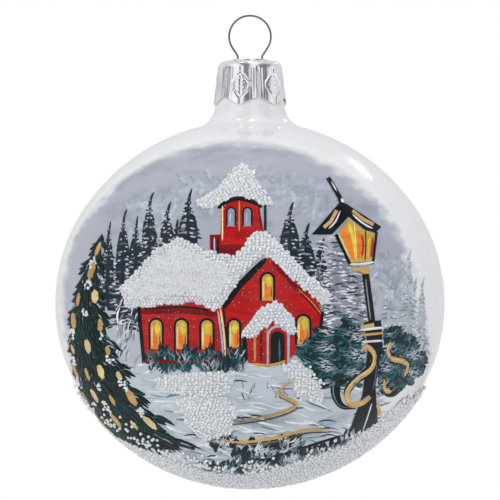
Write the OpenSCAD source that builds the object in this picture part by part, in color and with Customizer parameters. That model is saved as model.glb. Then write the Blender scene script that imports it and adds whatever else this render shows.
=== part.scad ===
// Souvenir glass Christmas ball: a blown glass ball with a white lining, a pressed crown cap,
// a sprung wire hanger, and a winter village laid on the glass in enamel and glass-bead snow.
// Millimetres. Z is up, the picture faces -Y, and the origin is where a hook bears inside the
// top of the wire loop.

/* [Ball] */
// Width of the ball at its middle
ball_d = 80; // [64:1:100]
// Height that the ball lacks at each pole, against a true sphere
ball_squash = 2.4; // [1:0.1:3]
// Thickness of the blown glass
glass_wall = 0.9; // [0.6:0.1:1.2]
// Thickness of the white lining inside the glass
lining_t = 0.15; // [0.1:0.05:0.3]

/* [Neck] */
// Outer radius of the neck at its rim
neck_rim_r = 6.3; // [5:0.1:8]
// Outer radius of the neck where it starts to flare
neck_base_r = 7.2; // [6.4:0.1:9]
// Radius of the flare between the neck and the ball
neck_flare_r = 4.5; // [3:0.1:7]
// Height of the neck above its flare
neck_h = 7.5; // [6:0.1:12]

/* [Cap] */
// Thickness of the cap's sheet metal
cap_sheet = 0.25; // [0.15:0.05:0.35]
// Gap between the cap and the glass
cap_gap = 0.15; // [0.08:0.01:0.3]
// Radius of the round between the cap's top and its skirt
cap_round_r = 1.7; // [1:0.1:2]
// Number of petals round the skirt
petals = 6; // [5:1:8]
// Depth of the points at the petals' ends
petal_point = 1.6; // [0.8:0.1:2.2]
// Width of the blunt end of each point
petal_tip = 0.8; // [0.4:0.1:1.5]
// Width of the slit between two petals
petal_slit = 0.4; // [0.2:0.1:0.8]
// Angle of the first slit from the front, to the right
slit_turn = 14; // [0:1:60]
// Sheet left between a wire hole and the side of the raised disc
hole_margin = 0.3; // [0.2:0.05:0.6]
// Height of the raised disc
boss_h = 0.35; // [0.2:0.05:0.6]

/* [Hanger] */
// Diameter of the hanger's wire
wire_d = 0.4; // [0.3:0.05:0.6]
// Radius of the loop, to the middle of the wire
loop_r = 4.3; // [3.5:0.1:6]
// Height of the loop's middle above the cap
loop_rise = 4.7; // [4.5:0.1:7]
// Distance of each leg from the middle, where it enters the cap
leg_x = 2.5; // [2:0.1:2.8]
// Distance of each leg's end from the middle
leg_end_x = 4.3; // [3.4:0.1:4.5]
// Length of the legs below the cap's top
leg_l = 17; // [12:0.5:20]
// Gap round the wire in the cap's holes
wire_gap = 0.35; // [0.2:0.05:0.5]
// Radius of the wire's bends
bend_r = 0.8; // [0.5:0.1:1.2]

/* [Decoration] */
// Thickness of the ground coat under the picture
coat_t = 0.12; // [0.1:0.01:0.2]
// Thickness of the enamel brushed on it
enamel_t = 0.14; // [0.1:0.01:0.25]
// Thickness of the gold and outline work, which stands highest
relief_t = 0.2; // [0.15:0.01:0.3]
// Diameter of the glass beads that make the snow
bead_d = 0.7; // [0.5:0.05:0.9]
// Share of the size drawn here at which the picture is laid on the ball
picture_scale = 1; // [0.8:0.05:1]

/* [Hidden] */
$fn = 120;
// Cutters run past what they cut by this much, and past the whole ball by more.
cut_past = 1;

// The ball's outline is an oval of arcs. Their centres form a 3-4-5 triangle, so that the arcs
// meet exactly: the side arc's centre is out by 4 parts and the polar arc's is across by 3.
part_of_gap = ball_squash/2;
ball_r = ball_d/2;
past_ball = ball_r + 5;
side_x = 4*part_of_gap;
polar_z = 3*part_of_gap;
side_r = ball_r - side_x;
polar_r = side_r + 5*part_of_gap;
pole_r = polar_r - polar_z;

// The flare is an arc that touches the upper polar arc and the foot of the neck.
flare_x = neck_base_r + neck_flare_r;
flare_z = sqrt(pow(polar_r + neck_flare_r, 2) - flare_x*flare_x) - polar_z;
flare_angle = atan2(flare_z + polar_z, flare_x);
flare_steps = 10;
// The neck's root is a tongue that enters the ball's wall by this angle and stays this far
// inside its faces.
root_angle = 1;
root_inset = 0.05;
rim_z = flare_z + neck_h;

// The cap's round starts level with the rim, and its skirt follows the neck.
cap_top_z = rim_z + cap_round_r;
cap_under_z = cap_top_z - cap_sheet;
cap_inner_top_r = neck_rim_r + cap_gap;
cap_inner_base_r = neck_base_r + cap_gap;
cap_tip_z = flare_z + 0.1;
petal_turn = 360/petals;
// The slits stop this far below the rim.
slit_stop = 0.4;
cap_steps = 8;

// The hanger: its pivot is the line through both holes in the cap's top.
wire_r = wire_d/2;
ball_z = -(loop_r - wire_r) - loop_rise - cap_top_z - boss_h;
cap_roof_z = cap_top_z + boss_h;
loop_z = cap_roof_z + loop_rise;
foot_rise = 0.7;
hole_r = wire_r + wire_gap;
boss_r = leg_x + hole_r + hole_margin + cap_sheet;
splay_start = 1.4;
wire_sides = 10;
loop_steps = 16;
bend_steps = 3;

// The picture is drawn for an 80 mm ball and follows the ball's size.
drawn_ball_d = 80;
art = picture_scale*ball_d/drawn_ball_d;
picture_turn = -8;
horizon_z = -11.5;
// The snow bank runs this far behind the ball's middle.
bank_behind = 8;

// ---------- shapes of the ball ----------

// The part of a ring about the origin that lies between two directions.
module ring_sector(low, high, from, to) intersection() {
    difference() {
        circle(r = high);
        circle(r = low);
    }
    polygon([[0, 0], 2*high*from, 2*high*(from + to), 2*high*to]);
}

// The ball's skin between two heights above its outer face, from pole to pole.
module full_skin(low, high) rotate_extrude() {
    join = [0.8, 0.6];
    mirrored_join = [0.8, -0.6];
    translate([side_x, 0]) ring_sector(side_r + low, side_r + high, mirrored_join, join);
    translate([0, -polar_z]) ring_sector(polar_r + low, polar_r + high, join, [0, 1]);
    translate([0, polar_z]) ring_sector(polar_r + low, polar_r + high, [0, -1], mirrored_join);
}

// The skin with the neck's mouth cut out of it.
module skin(low, high) difference() {
    full_skin(low, high);
    mouth_r = polar_r*cos(flare_angle);
    cylinder(r = mouth_r, h = past_ball);
}

// Points of the flare at a distance from its centre, from the ball up to the neck.
function flare_points(r) = [
    for (i = [1:flare_steps])
        let (a = 180 + flare_angle - i*flare_angle/flare_steps)
        [flare_x, flare_z] + r*[cos(a), sin(a)]
];

// A point of the ball's wall at a radius of the upper polar arc, at the neck's root.
function root_point(r, angle) = [r*cos(angle), r*sin(angle) - polar_z];

function reversed(list) = [for (i = [len(list) - 1:-1:0]) list[i]];

module neck() {
    out_r = polar_r - root_inset;
    in_r = polar_r - glass_wall + root_inset;
    deep = flare_angle - root_angle;
    rotate_extrude() polygon(concat(
        [root_point(out_r, deep)],
        flare_points(neck_flare_r),
        [[neck_rim_r, rim_z], [neck_rim_r - glass_wall, rim_z]],
        reversed(flare_points(neck_flare_r + glass_wall)),
        [root_point(in_r, deep)]
    ));
}

module glass_ball() color("white") translate([0, 0, ball_z]) {
    skin(-glass_wall, 0);
    neck();
}

module white_lining() color("whitesmoke") translate([0, 0, ball_z])
    skin(-glass_wall - lining_t, -glass_wall);

// ---------- cap and hanger ----------

// Points of an arc of radius r about c, with their angles running from one value to another.
function arc(c, r, from, to, steps) = [
    for (i = [0:steps]) let (a = from + (to - from)*i/steps) c + r*[cos(a), sin(a)]
];

// The pressed sheet before it is slit: a top with a raised disc, rounded down to a skirt that
// follows the neck.
module cap_sheet_metal() {
    round_c = [cap_inner_top_r + cap_sheet - cap_round_r, rim_z];
    outer = concat(
        [[0, cap_roof_z], [boss_r, cap_roof_z], [boss_r, cap_top_z]],
        arc(round_c, cap_round_r, 90, 0, cap_steps),
        [[cap_inner_base_r + cap_sheet, cap_tip_z]]
    );
    inner = concat(
        [[cap_inner_base_r, cap_tip_z]],
        arc(round_c, cap_round_r - cap_sheet, 0, 90, cap_steps),
        [[boss_r - cap_sheet, cap_under_z], [boss_r - cap_sheet, cap_roof_z - cap_sheet]],
        [[0, cap_roof_z - cap_sheet]]
    );
    rotate_extrude() polygon(concat(outer, inner));
}

// What is cut between two petals: a slit that ends in the notch between their points.
module petal_cut() {
    half_notch = cap_inner_base_r*sin(petal_turn/2) - petal_tip/2;
    half_below = half_notch*(petal_point + cut_past)/petal_point;
    below = cap_tip_z - cut_past;
    slit_top = rim_z - slit_stop;
    rotate([90, 0, 0]) linear_extrude(cap_inner_base_r + cut_past) union() {
        translate([-petal_slit/2, below]) square([petal_slit, slit_top - below]);
        polygon([[-half_below, below], [0, cap_tip_z + petal_point], [half_below, below]]);
    }
}

module crown_cap() color("silver") translate([0, 0, ball_z]) difference() {
    cap_sheet_metal();
    for (i = [0:petals - 1]) rotate([0, 0, slit_turn + i*petal_turn]) petal_cut();
    for (side = [-1, 1]) translate([side*leg_x, 0, cap_under_z - cut_past])
        cylinder(r = hole_r, h = boss_h + 2*cut_past);
}

// The right half of the wire's middle line, from the top of the loop to the end of the leg.
function wire_half() =
    let (
        loop_c = [0, loop_z],
        foot = [leg_x, cap_roof_z + foot_rise],
        knee = [leg_x, cap_roof_z - splay_start],
        leg_end = [leg_end_x, cap_roof_z - leg_l],
        to_foot = foot - loop_c,
        leave = atan2(to_foot[1], to_foot[0]) + acos(loop_r/norm(to_foot)),
        touch = loop_c + loop_r*[cos(leave), sin(leave)],
        slant = atan2(touch[0] - foot[0], touch[1] - foot[1]),
        splay = atan2(leg_end[0] - knee[0], knee[1] - leg_end[1]),
        foot_c = foot + [bend_r, -bend_r*tan(slant/2)],
        knee_c = knee + [bend_r, bend_r*tan(splay/2)]
    )
    concat(
        arc(loop_c, loop_r, 90, leave, loop_steps),
        arc(foot_c, bend_r, 180 - slant, 180, bend_steps),
        arc(knee_c, bend_r, 180, 180 + splay, bend_steps),
        [leg_end]
    );

// The whole middle line, from the left leg's end over the loop to the right leg's end.
function wire_line() =
    let (right = wire_half())
    concat([for (p = reversed(right)) [-p[0], p[1]]], [for (i = [1:len(right) - 1]) right[i]]);

// The direction of a line at point i, midway between the runs that meet there.
function heading(line, i) =
    let (
        before = i > 0 ? line[i] - line[i - 1] : line[1] - line[0],
        after = i < len(line) - 1 ? line[i + 1] - line[i] : before,
        sum = before/norm(before) + after/norm(after)
    )
    sum/norm(sum);

// The wire is one tube, swept along its middle line in the XZ plane.
module hanger_wire() color("dimgray") translate([0, 0, ball_z]) {
    line = wire_line();
    last = len(line) - 1;
    points = [
        for (i = [0:last], k = [0:wire_sides - 1])
            let (d = heading(line, i), a = 360*k/wire_sides, out = wire_r*cos(a))
            [line[i][0] + d[1]*out, wire_r*sin(a), line[i][1] - d[0]*out]
    ];
    walls = [
        for (i = [0:last - 1], k = [0:wire_sides - 1])
            let (a = i*wire_sides + k, b = i*wire_sides + (k + 1) % wire_sides)
            [a, a + wire_sides, b + wire_sides, b]
    ];
    start_cap = [for (k = [0:wire_sides - 1]) k];
    end_cap = [for (k = [wire_sides - 1:-1:0]) last*wire_sides + k];
    polyhedron(points, concat(walls, [start_cap, end_cap]));
}

// ---------- laying the picture on the ball ----------

// Lays a flat outline, drawn as seen from the front with the ball's middle at its origin, on
// the ball as a film between two heights. A turned outline is laid from that side, and a film
// may run on behind the ball's middle.
module film(low, high, turn = 0, behind = 0) translate([0, 0, ball_z]) intersection() {
    skin(low, high);
    rotate([90, 0, turn]) translate([0, 0, -behind]) linear_extrude(past_ball + behind)
        scale([art, art]) children();
}

module enamel(turn = 0) film(coat_t, coat_t + enamel_t, turn) children();
module relief(turn = 0) film(coat_t, coat_t + relief_t, turn) children();
module beads(turn = 0) film(coat_t, coat_t + bead_d, turn) children();

// The painted round: an oval that leaves the neck, the underside and the back plain.
picture_half_w = 38;
picture_half_h = 35;
picture_drop = 0.8;
module picture_edge() polygon([
    for (a = [0:10:350]) [picture_half_w*cos(a), picture_half_h*sin(a) - picture_drop]
]);

// One side of a fir: each tier ends in a bough tip and steps back in before the next.
function fir_side(h, w, tiers, side) = [
    for (i = [1:tiers], step = [0, 1])
        let (reach = w*(i/tiers)*(step == 0 ? 1 : 0.62))
        if (i < tiers || step == 0) [side*reach, -h*(i + 0.25*step)/tiers]
];

// A fir with its tip at the origin, leaning by lean at its foot.
module fir(h, w, tiers, lean = 0) {
    points = concat([[0, h*0.16]], fir_side(h, w, tiers, 1), reversed(fir_side(h, w, tiers, -1)));
    polygon([for (p = points) [p[0] + lean*p[1]/h, p[1]]]);
}

// A window with a half-round head, standing on the origin.
module arched(w, h) {
    translate([-w/2, 0]) square([w, h - w/2]);
    translate([0, h - w/2]) circle(d = w, $fn = 32);
}

// A row of rounded clumps along a line, as a shrub's outline.
module clumps(from, to, r, count) for (i = [0:count - 1])
    translate(from + (to - from)*i/(count - 1) + [0, (i % 2)*r*0.35]) circle(r = r, $fn = 24);

// The points beside a line at a distance, square to the runs that meet at each.
function beside(line, d) = [
    for (i = [0:len(line) - 1]) let (h = heading(line, i)) line[i] + d*[-h[1], h[0]]
];

// A brushed line of width w through points.
module stroke(line, w) polygon(concat(beside(line, w/2), reversed(beside(line, -w/2))));

// ---------- outlines, as seen from the front ----------

module nave_wall_2d() polygon([[-22, 0], [-5.6, 1], [-4.9, -10.5], [-20.8, -11.6]]);
module gable_wall_2d() polygon([
    [-5.6, 0], [3.4, 9.8], [12.8, 2], [14.2, -1.6], [12.8, -9.6], [-4.9, -10.5]
]);
module belfry_wall_2d() polygon([
    [-5.8, 14], [-5.6, 20.6], [-2.4, 22.2], [1.6, 20.6], [2.7, 14.6], [2.6, 12], [-5.8, 12]
]);
module belfry_base_2d() polygon([
    [-7.9, 13.9], [-5.8, 14], [-5.8, 12], [2.6, 12], [3.8, 14.4], [5, 12.8], [-3, 9], [-7.9, 9]
]);
module porch_wall_2d() polygon([
    [-0.6, -5.5], [4.6, -2.6], [8.6, -5.2], [8.4, -10], [5.4, -11.8], [-0.4, -11.2]
]);
module church_door_2d() translate([5.4, -11.6]) arched(3, 6.6);

module nave_windows_2d() for (i = [0:2]) translate([-18.4 + i*5, -8.6]) arched(2.6, 6);
module gable_windows_2d() {
    translate([-3.1, -8.2]) arched(2.4, 5.6);
    translate([10.4, -7.6]) arched(2.8, 5.8);
    translate([3.4, 1]) arched(2.6, 5.4);
}
module belfry_windows_2d() for (x = [-3.7, -0.5]) translate([x, 15.6]) arched(1.7, 3.6);

module nave_roof_2d() polygon([
    [-28.2, 0.4], [-25.4, 3.6], [-22.2, 6.8], [-19, 10.6], [-13.8, 13.3], [-8.2, 10.6], [-3, 9.6],
    [-2.2, 5], [-5.2, 0.6], [-7, -0.8], [-9, 0], [-11.6, 0.9], [-15, 0.5], [-21, -0.2], [-25.6, -0.6]
]);
module gable_roof_2d() polygon([
    [-3.2, 9.3], [1.2, 14.6], [3, 14.6], [9.4, 8.4], [15.6, 2.2], [14.8, 0], [12.6, 1.8],
    [8.4, 5.4], [3.8, 9.9], [2.4, 10.2], [-2.4, 5.6]
]);
module belfry_roof_2d() polygon([
    [-10.8, 20.4], [-7, 22.4], [-2.2, 28.2], [-1, 28.2], [1.8, 24], [4.6, 20], [2, 20.3],
    [-2.4, 22.2], [-6.2, 20.2], [-9, 19.4]
]);
module porch_roof_2d() polygon([
    [-2.4, -6], [1.2, -1.4], [5.2, 1], [8.4, -2.4], [9.6, -5.6], [7.4, -5.4], [4.6, -2.8], [0.6, -6.2]
]);

module church_outline_2d() {
    stroke([[-22, -0.2], [-21, -11.6]], 0.7);
    stroke([[-2.5, 5.4], [-5.4, 0.9]], 0.7);
    stroke([[14.3, -1.2], [13.2, -9.6]], 0.6);
    stroke([[3, 19.8], [3, 14.8]], 0.5);
}

module left_pines_2d() {
    translate([-24, 17.6]) fir(20, 4, 6);
    translate([-20, 20.6]) fir(18, 4.6, 6);
    translate([-16.2, 18.8]) fir(14, 4, 5);
    translate([-12.4, 20.8]) fir(12, 4.2, 5);
}
module right_pines_2d() {
    translate([7.6, 18.6]) fir(12, 4, 5);
    translate([11, 15]) fir(14, 3.6, 5);
}
module snowy_fir_2d() polygon([
    [12, 12.4], [16, 14], [20.6, 12.6], [22.4, 6], [23, -3], [19, -5.6], [13.6, -6.6], [11.6, -2], [11, 5]
]);
module front_shrubs_2d() {
    clumps([-19.4, -12], [-12, -11], 1.9, 4);
    clumps([-10.6, -11.4], [-3.2, -12], 2.1, 4);
    polygon([[-20.6, -13.6], [-20, -11.4], [-2.4, -11.4], [-1.4, -13.2]]);
}
module fir_boughs_2d() {
    clumps([12.6, -8.6], [20.6, -6.2], 2.6, 4);
    clumps([14.6, -13.4], [22, -11.4], 2.8, 4);
    polygon([[12, -9], [22, -5], [23, -16], [16, -15.6]]);
}
module side_shrubs_2d() {
    clumps([27.4, -7.4], [31.4, -9.4], 2.2, 3);
    clumps([25.4, -15.6], [33.6, -13.4], 2.4, 4);
    polygon([[25, -7], [31, -8], [34.4, -14], [30, -17.6], [24.4, -17.6]]);
}

module lamp_post_2d() {
    stroke([[22.8, 6.6], [24.2, -3.6]], 1.4);
    polygon([
        [22.4, -3.4], [26, -3], [26.4, -8], [25, -16], [25.8, -24.6], [19.8, -25.8], [22.4, -18],
        [23.4, -8]
    ]);
}
module lamp_roof_2d() {
    stroke([[15.6, 25.4], [17.8, 21.6], [18.6, 19]], 0.9);
    polygon([
        [18, 20.6], [19.4, 20], [26.2, 15.6], [25, 14.4], [22.8, 15], [19.6, 17.6], [16.2, 14],
        [12.2, 14]
    ]);
    stroke([[25.2, 14.6], [24.4, 8.4], [19.8, 8], [17, 14]], 0.6);
}
module lamp_panes_2d() polygon([
    [17.4, 14], [19.6, 17.2], [22.6, 14.9], [24.9, 14.2], [24.1, 8.8], [20, 8.4]
]);
module lamp_scrolls_2d() {
    stroke([
        [21.9, -9], [23.2, -8.2], [24.6, -10], [23.9, -12.6], [20.9, -14.8], [19.2, -17.2],
        [19.9, -19.6], [22, -19.6], [24, -18.4]
    ], 0.9);
    stroke([[27.9, -7.4], [27.2, -9], [28, -10.6], [30, -11.2], [31.5, -12.2], [30.7, -14.6]], 0.9);
    stroke([[26.7, -14.8], [26.8, -16.9], [28.2, -17.3]], 0.8);
}
module lamp_gilding_2d() {
    stroke([[17.2, 18.8], [16, 16.6], [14.6, 15.4]], 0.7);
    stroke([[20.4, 18.8], [22.6, 17], [24.6, 16]], 0.7);
    stroke([[20.2, 7.2], [23.4, 7.2]], 0.8);
    stroke([[21.8, -4.4], [24.6, -3.9]], 0.8);
    stroke([[25.6, -20], [26.2, -22.4]], 0.7);
}

// The tree and its trimmings are laid from the left, where they go round the ball's side.
tree_turn = -56;
tree_foot = [2.4, 11.5];
tree_h = 40;
tree_w = 17.5;
tree_tiers = 8;
tree_lean = 5;
module christmas_tree_2d() translate(tree_foot) fir(tree_h, tree_w, tree_tiers, tree_lean);

// Rows of round trimmings across the tree, each row wider than the one above it, with every
// other trimming a step higher.
row_share = 0.72;
row_step = 0.7;
module trimmings(first, last, drop, fewest, more, small, big) for (i = [first:last]) {
    count = fewest + floor(i*more);
    z = -tree_h*(i + drop)/tree_tiers;
    reach = row_share*tree_w*(i + drop)/tree_tiers;
    for (j = [0:count - 1]) {
        across = count == 1 ? 0 : 2*j/(count - 1) - 1;
        size = (i + j) % 2 == 0 ? small : big;
        translate(tree_foot + [across*reach + tree_lean*z/tree_h, z + row_step*((j + i) % 2)])
            circle(d = size, $fn = 24);
    }
}
module gold_baubles_2d() trimmings(0, 7, 0.1, 1, 0.6, 1.5, 2.2);
module snow_puffs_2d() trimmings(0, 6, 0.62, 1, 0.45, 1.8, 2.4);

module left_drift_2d() polygon([
    [-20, -17], [-18.6, -14.6], [-10, -13.2], [-3, -13.2], [-4, -17], [-8, -18], [-14, -17.4]
]);
module middle_drift_2d() polygon([
    [-14.6, -19], [-12, -18.2], [-5, -18.6], [-2.4, -21], [-4, -25.6], [-9, -27], [-12.4, -24]
]);
module right_drift_2d() polygon([
    [6, -12], [9, -11], [12.4, -12.4], [15, -16], [14.4, -19.2], [9.6, -18.6], [8.4, -15]
]);
module foreground_scrub_2d() {
    polygon([
        [-8, -33], [4, -32], [16, -28.6], [24.4, -24.2], [25.2, -26], [16, -31], [4, -34.2],
        [-8, -34.6]
    ]);
    clumps([-13, -28.4], [-5, -28], 1.6, 4);
    clumps([-2, -30.6], [9, -28.2], 1.5, 5);
}
module gold_path_2d() {
    stroke([[8.7, -14.4], [5.6, -17.2], [9.2, -19.4], [6.4, -21], [1.6, -22.2], [-4.4, -23]], 0.7);
    stroke([[-6.2, -26.4], [-1.8, -27.2], [5.6, -26.2], [10.8, -24.8], [16, -24.6]], 0.6);
}

// The bank of beads under the picture, which thins out towards the right.
module base_snow_band_2d() polygon([
    [-34, -22], [-27.7, -27.6], [-18.4, -31], [-9.2, -34.4], [0, -34.9], [10, -32], [19.6, -28.4],
    [26.2, -24.2], [31, -19.8], [40, -15.8], [40, -25], [32, -28], [20, -34], [8, -42], [-34, -42]
]);

// ---------- the pieces of the picture, from the back to the front ----------

module snow_beads_2d() {
    nave_roof_2d();
    gable_roof_2d();
    belfry_roof_2d();
    porch_roof_2d();
}

module lamp_2d() {
    lamp_post_2d();
    lamp_roof_2d();
    lamp_panes_2d();
    lamp_scrolls_2d();
    lamp_gilding_2d();
}

module church_2d() {
    nave_wall_2d();
    gable_wall_2d();
    belfry_wall_2d();
    belfry_base_2d();
    church_outline_2d();
    snow_beads_2d();
}

// The tree's outline as it is seen from the front, where other pieces give way to it.
module tree_front_2d() polygon([
    [-40, -30], [-40, 20], [-27, 20], [-26.4, 6], [-22.8, -6], [-19, -15], [-10, -25], [-8.2, -27.6],
    [-8.2, -31], [-20, -40]
]);

module sky_coat() color("lightsteelblue") film(0, coat_t, picture_turn) intersection() {
    picture_edge();
    translate([-ball_r, horizon_z]) square([ball_d, ball_d]);
}

module snowfield_coat() color("aliceblue") film(0, coat_t, picture_turn) difference() {
    picture_edge();
    translate([-ball_r, horizon_z]) square([ball_d, ball_d]);
}

module left_pines() color("slategray") enamel() difference() {
    left_pines_2d();
    church_2d();
    tree_front_2d();
}

module right_pines() color("slategray") enamel() difference() {
    right_pines_2d();
    church_2d();
    lamp_2d();
    snowy_fir_2d();
}

module snowy_fir() color("lightgray") enamel() difference() {
    snowy_fir_2d();
    church_2d();
    lamp_2d();
    fir_boughs_2d();
}

module nave_wall() color("firebrick") enamel() difference() {
    nave_wall_2d();
    gable_wall_2d();
    nave_windows_2d();
    church_outline_2d();
    snow_beads_2d();
    front_shrubs_2d();
}

module gable_wall() color("firebrick") enamel() difference() {
    gable_wall_2d();
    gable_windows_2d();
    porch_wall_2d();
    church_outline_2d();
    snow_beads_2d();
    front_shrubs_2d();
    fir_boughs_2d();
}

module belfry_wall() color("firebrick") enamel() difference() {
    belfry_wall_2d();
    belfry_windows_2d();
    church_outline_2d();
    snow_beads_2d();
}

module belfry_base() color("darkred") enamel() difference() {
    belfry_base_2d();
    belfry_wall_2d();
    snow_beads_2d();
}

module porch_wall() color("firebrick") enamel() difference() {
    porch_wall_2d();
    church_door_2d();
    snow_beads_2d();
    front_shrubs_2d();
    right_drift_2d();
}

module church_door() color("black") enamel() difference() {
    church_door_2d();
    snow_beads_2d();
    right_drift_2d();
}

module nave_windows() color("gold") enamel() difference() {
    nave_windows_2d();
    front_shrubs_2d();
}

module gable_windows() color("gold") enamel() difference() {
    gable_windows_2d();
    snow_beads_2d();
    fir_boughs_2d();
}

module belfry_windows() color("lightsteelblue") enamel() belfry_windows_2d();

module church_outline() color("black") relief() difference() {
    church_outline_2d();
    snow_beads_2d();
    front_shrubs_2d();
    fir_boughs_2d();
}

module nave_roof_snow() color("white") beads() difference() {
    nave_roof_2d();
    gable_roof_2d();
    tree_front_2d();
}
module gable_roof_snow() color("white") beads() gable_roof_2d();
module belfry_roof_snow() color("white") beads() belfry_roof_2d();
module porch_roof_snow() color("white") beads() porch_roof_2d();

module front_shrubs() color("darkslategray") enamel() difference() {
    front_shrubs_2d();
    left_drift_2d();
    tree_front_2d();
}

module fir_boughs() color("teal") enamel() difference() {
    fir_boughs_2d();
    lamp_2d();
    right_drift_2d();
    gable_roof_2d();
}

module side_shrubs() color("darkslategray") enamel() difference() {
    side_shrubs_2d();
    lamp_2d();
}

module lamp_post() color("black") enamel() difference() {
    lamp_post_2d();
    base_snow_band_2d();
    lamp_scrolls_2d();
    lamp_gilding_2d();
    lamp_roof_2d();
}

module lamp_roof() color("black") enamel() difference() {
    lamp_roof_2d();
    lamp_gilding_2d();
}

module lamp_panes() color("orange") enamel() difference() {
    lamp_panes_2d();
    lamp_roof_2d();
}

module lamp_scrolls() color("goldenrod") relief() lamp_scrolls_2d();
module lamp_gilding() color("goldenrod") relief() lamp_gilding_2d();

module christmas_tree() color("darkgreen") difference() {
    enamel(tree_turn) difference() {
        christmas_tree_2d();
        gold_baubles_2d();
        snow_puffs_2d();
    }
    base_snow_band();
}

module gold_baubles() color("goldenrod") difference() {
    relief(tree_turn) difference() {
        gold_baubles_2d();
        snow_puffs_2d();
    }
    base_snow_band();
}

module snow_puffs() color("white") difference() {
    beads(tree_turn) snow_puffs_2d();
    base_snow_band();
}

module left_drift() color("white") beads() difference() {
    left_drift_2d();
    tree_front_2d();
}
module middle_drift() color("white") beads() difference() {
    middle_drift_2d();
    gold_path_2d();
}
module right_drift() color("white") beads() difference() {
    right_drift_2d();
    gold_path_2d();
}
module foreground_scrub() color("darkslategray") enamel() difference() {
    foreground_scrub_2d();
    base_snow_band_2d();
    tree_front_2d();
    middle_drift_2d();
    gold_path_2d();
    lamp_2d();
}
module gold_path() color("goldenrod") relief() difference() {
    gold_path_2d();
    lamp_2d();
}

module base_snow_band() color("white")
    film(coat_t, coat_t + bead_d, behind = bank_behind) base_snow_band_2d();

glass_ball();
white_lining();
crown_cap();
hanger_wire();
sky_coat();
snowfield_coat();
left_pines();
right_pines();
snowy_fir();
nave_wall();
gable_wall();
belfry_wall();
belfry_base();
porch_wall();
church_door();
nave_windows();
gable_windows();
belfry_windows();
church_outline();
nave_roof_snow();
gable_roof_snow();
belfry_roof_snow();
porch_roof_snow();
front_shrubs();
fir_boughs();
side_shrubs();
lamp_post();
lamp_roof();
lamp_panes();
lamp_scrolls();
lamp_gilding();
christmas_tree();
gold_baubles();
snow_puffs();
left_drift();
middle_drift();
right_drift();
foreground_scrub();
gold_path();
base_snow_band();
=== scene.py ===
"""Looks of a hand-painted glass Christmas ball with a crown cap and a wire loop.

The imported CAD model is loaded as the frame. The glass, the cap and the beds of snow are new
meshes that stand for their CAD nodes, the crisp painted shapes are the CAD nodes themselves,
and brush strokes, beads and glitter are laid over them. Sizes are in metres unless a name
ends in _mm.
"""

import logging
import math
import random
from dataclasses import dataclass, field
from enum import Enum

import bmesh
import bpy
from mathutils import Matrix, Vector
from mathutils.bvhtree import BVHTree


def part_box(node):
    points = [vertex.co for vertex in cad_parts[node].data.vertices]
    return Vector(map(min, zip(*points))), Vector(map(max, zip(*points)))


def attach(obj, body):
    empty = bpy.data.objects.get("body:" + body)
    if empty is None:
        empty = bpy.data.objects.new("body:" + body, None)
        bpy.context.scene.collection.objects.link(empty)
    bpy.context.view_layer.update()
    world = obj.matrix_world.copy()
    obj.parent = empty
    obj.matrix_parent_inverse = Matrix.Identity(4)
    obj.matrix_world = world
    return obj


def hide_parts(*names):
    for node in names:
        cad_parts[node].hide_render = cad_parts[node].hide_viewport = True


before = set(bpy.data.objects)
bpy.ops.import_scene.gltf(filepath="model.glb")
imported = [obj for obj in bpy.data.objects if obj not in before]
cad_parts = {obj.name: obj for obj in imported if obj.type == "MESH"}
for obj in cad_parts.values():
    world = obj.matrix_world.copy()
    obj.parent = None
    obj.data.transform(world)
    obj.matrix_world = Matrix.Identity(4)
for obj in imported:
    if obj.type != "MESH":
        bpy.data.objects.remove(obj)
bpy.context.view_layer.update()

MM = 0.001
PAINT = "paint"
Colour = tuple[float, float, float]
Spot = tuple[float, float]
log = logging.getLogger("glass_ball")


class Tip(Enum):
    """How a brush stroke's width runs along it."""

    ROUND = "round"
    POINT = "point"
    FLAT = "flat"
    LEAF = "leaf"

    def share(self, u: float) -> float:
        """Give the stroke's width at u, from 0 to 1 along it, as a share of its full width.

        Args:
            u: Place along the stroke.

        Returns:
            The share, from 0 to 1.
        """
        if self is Tip.FLAT:
            return 1.0
        if self is Tip.POINT:
            return max(0.06, (1.0 - u) ** 0.7)
        if self is Tip.LEAF:
            return max(0.06, math.sin(math.pi * min(1.0, 0.12 + u * 0.88)))
        return max(0.1, (1.0 - abs(2.0 * u - 1.0) ** 4) ** 0.5)


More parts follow.
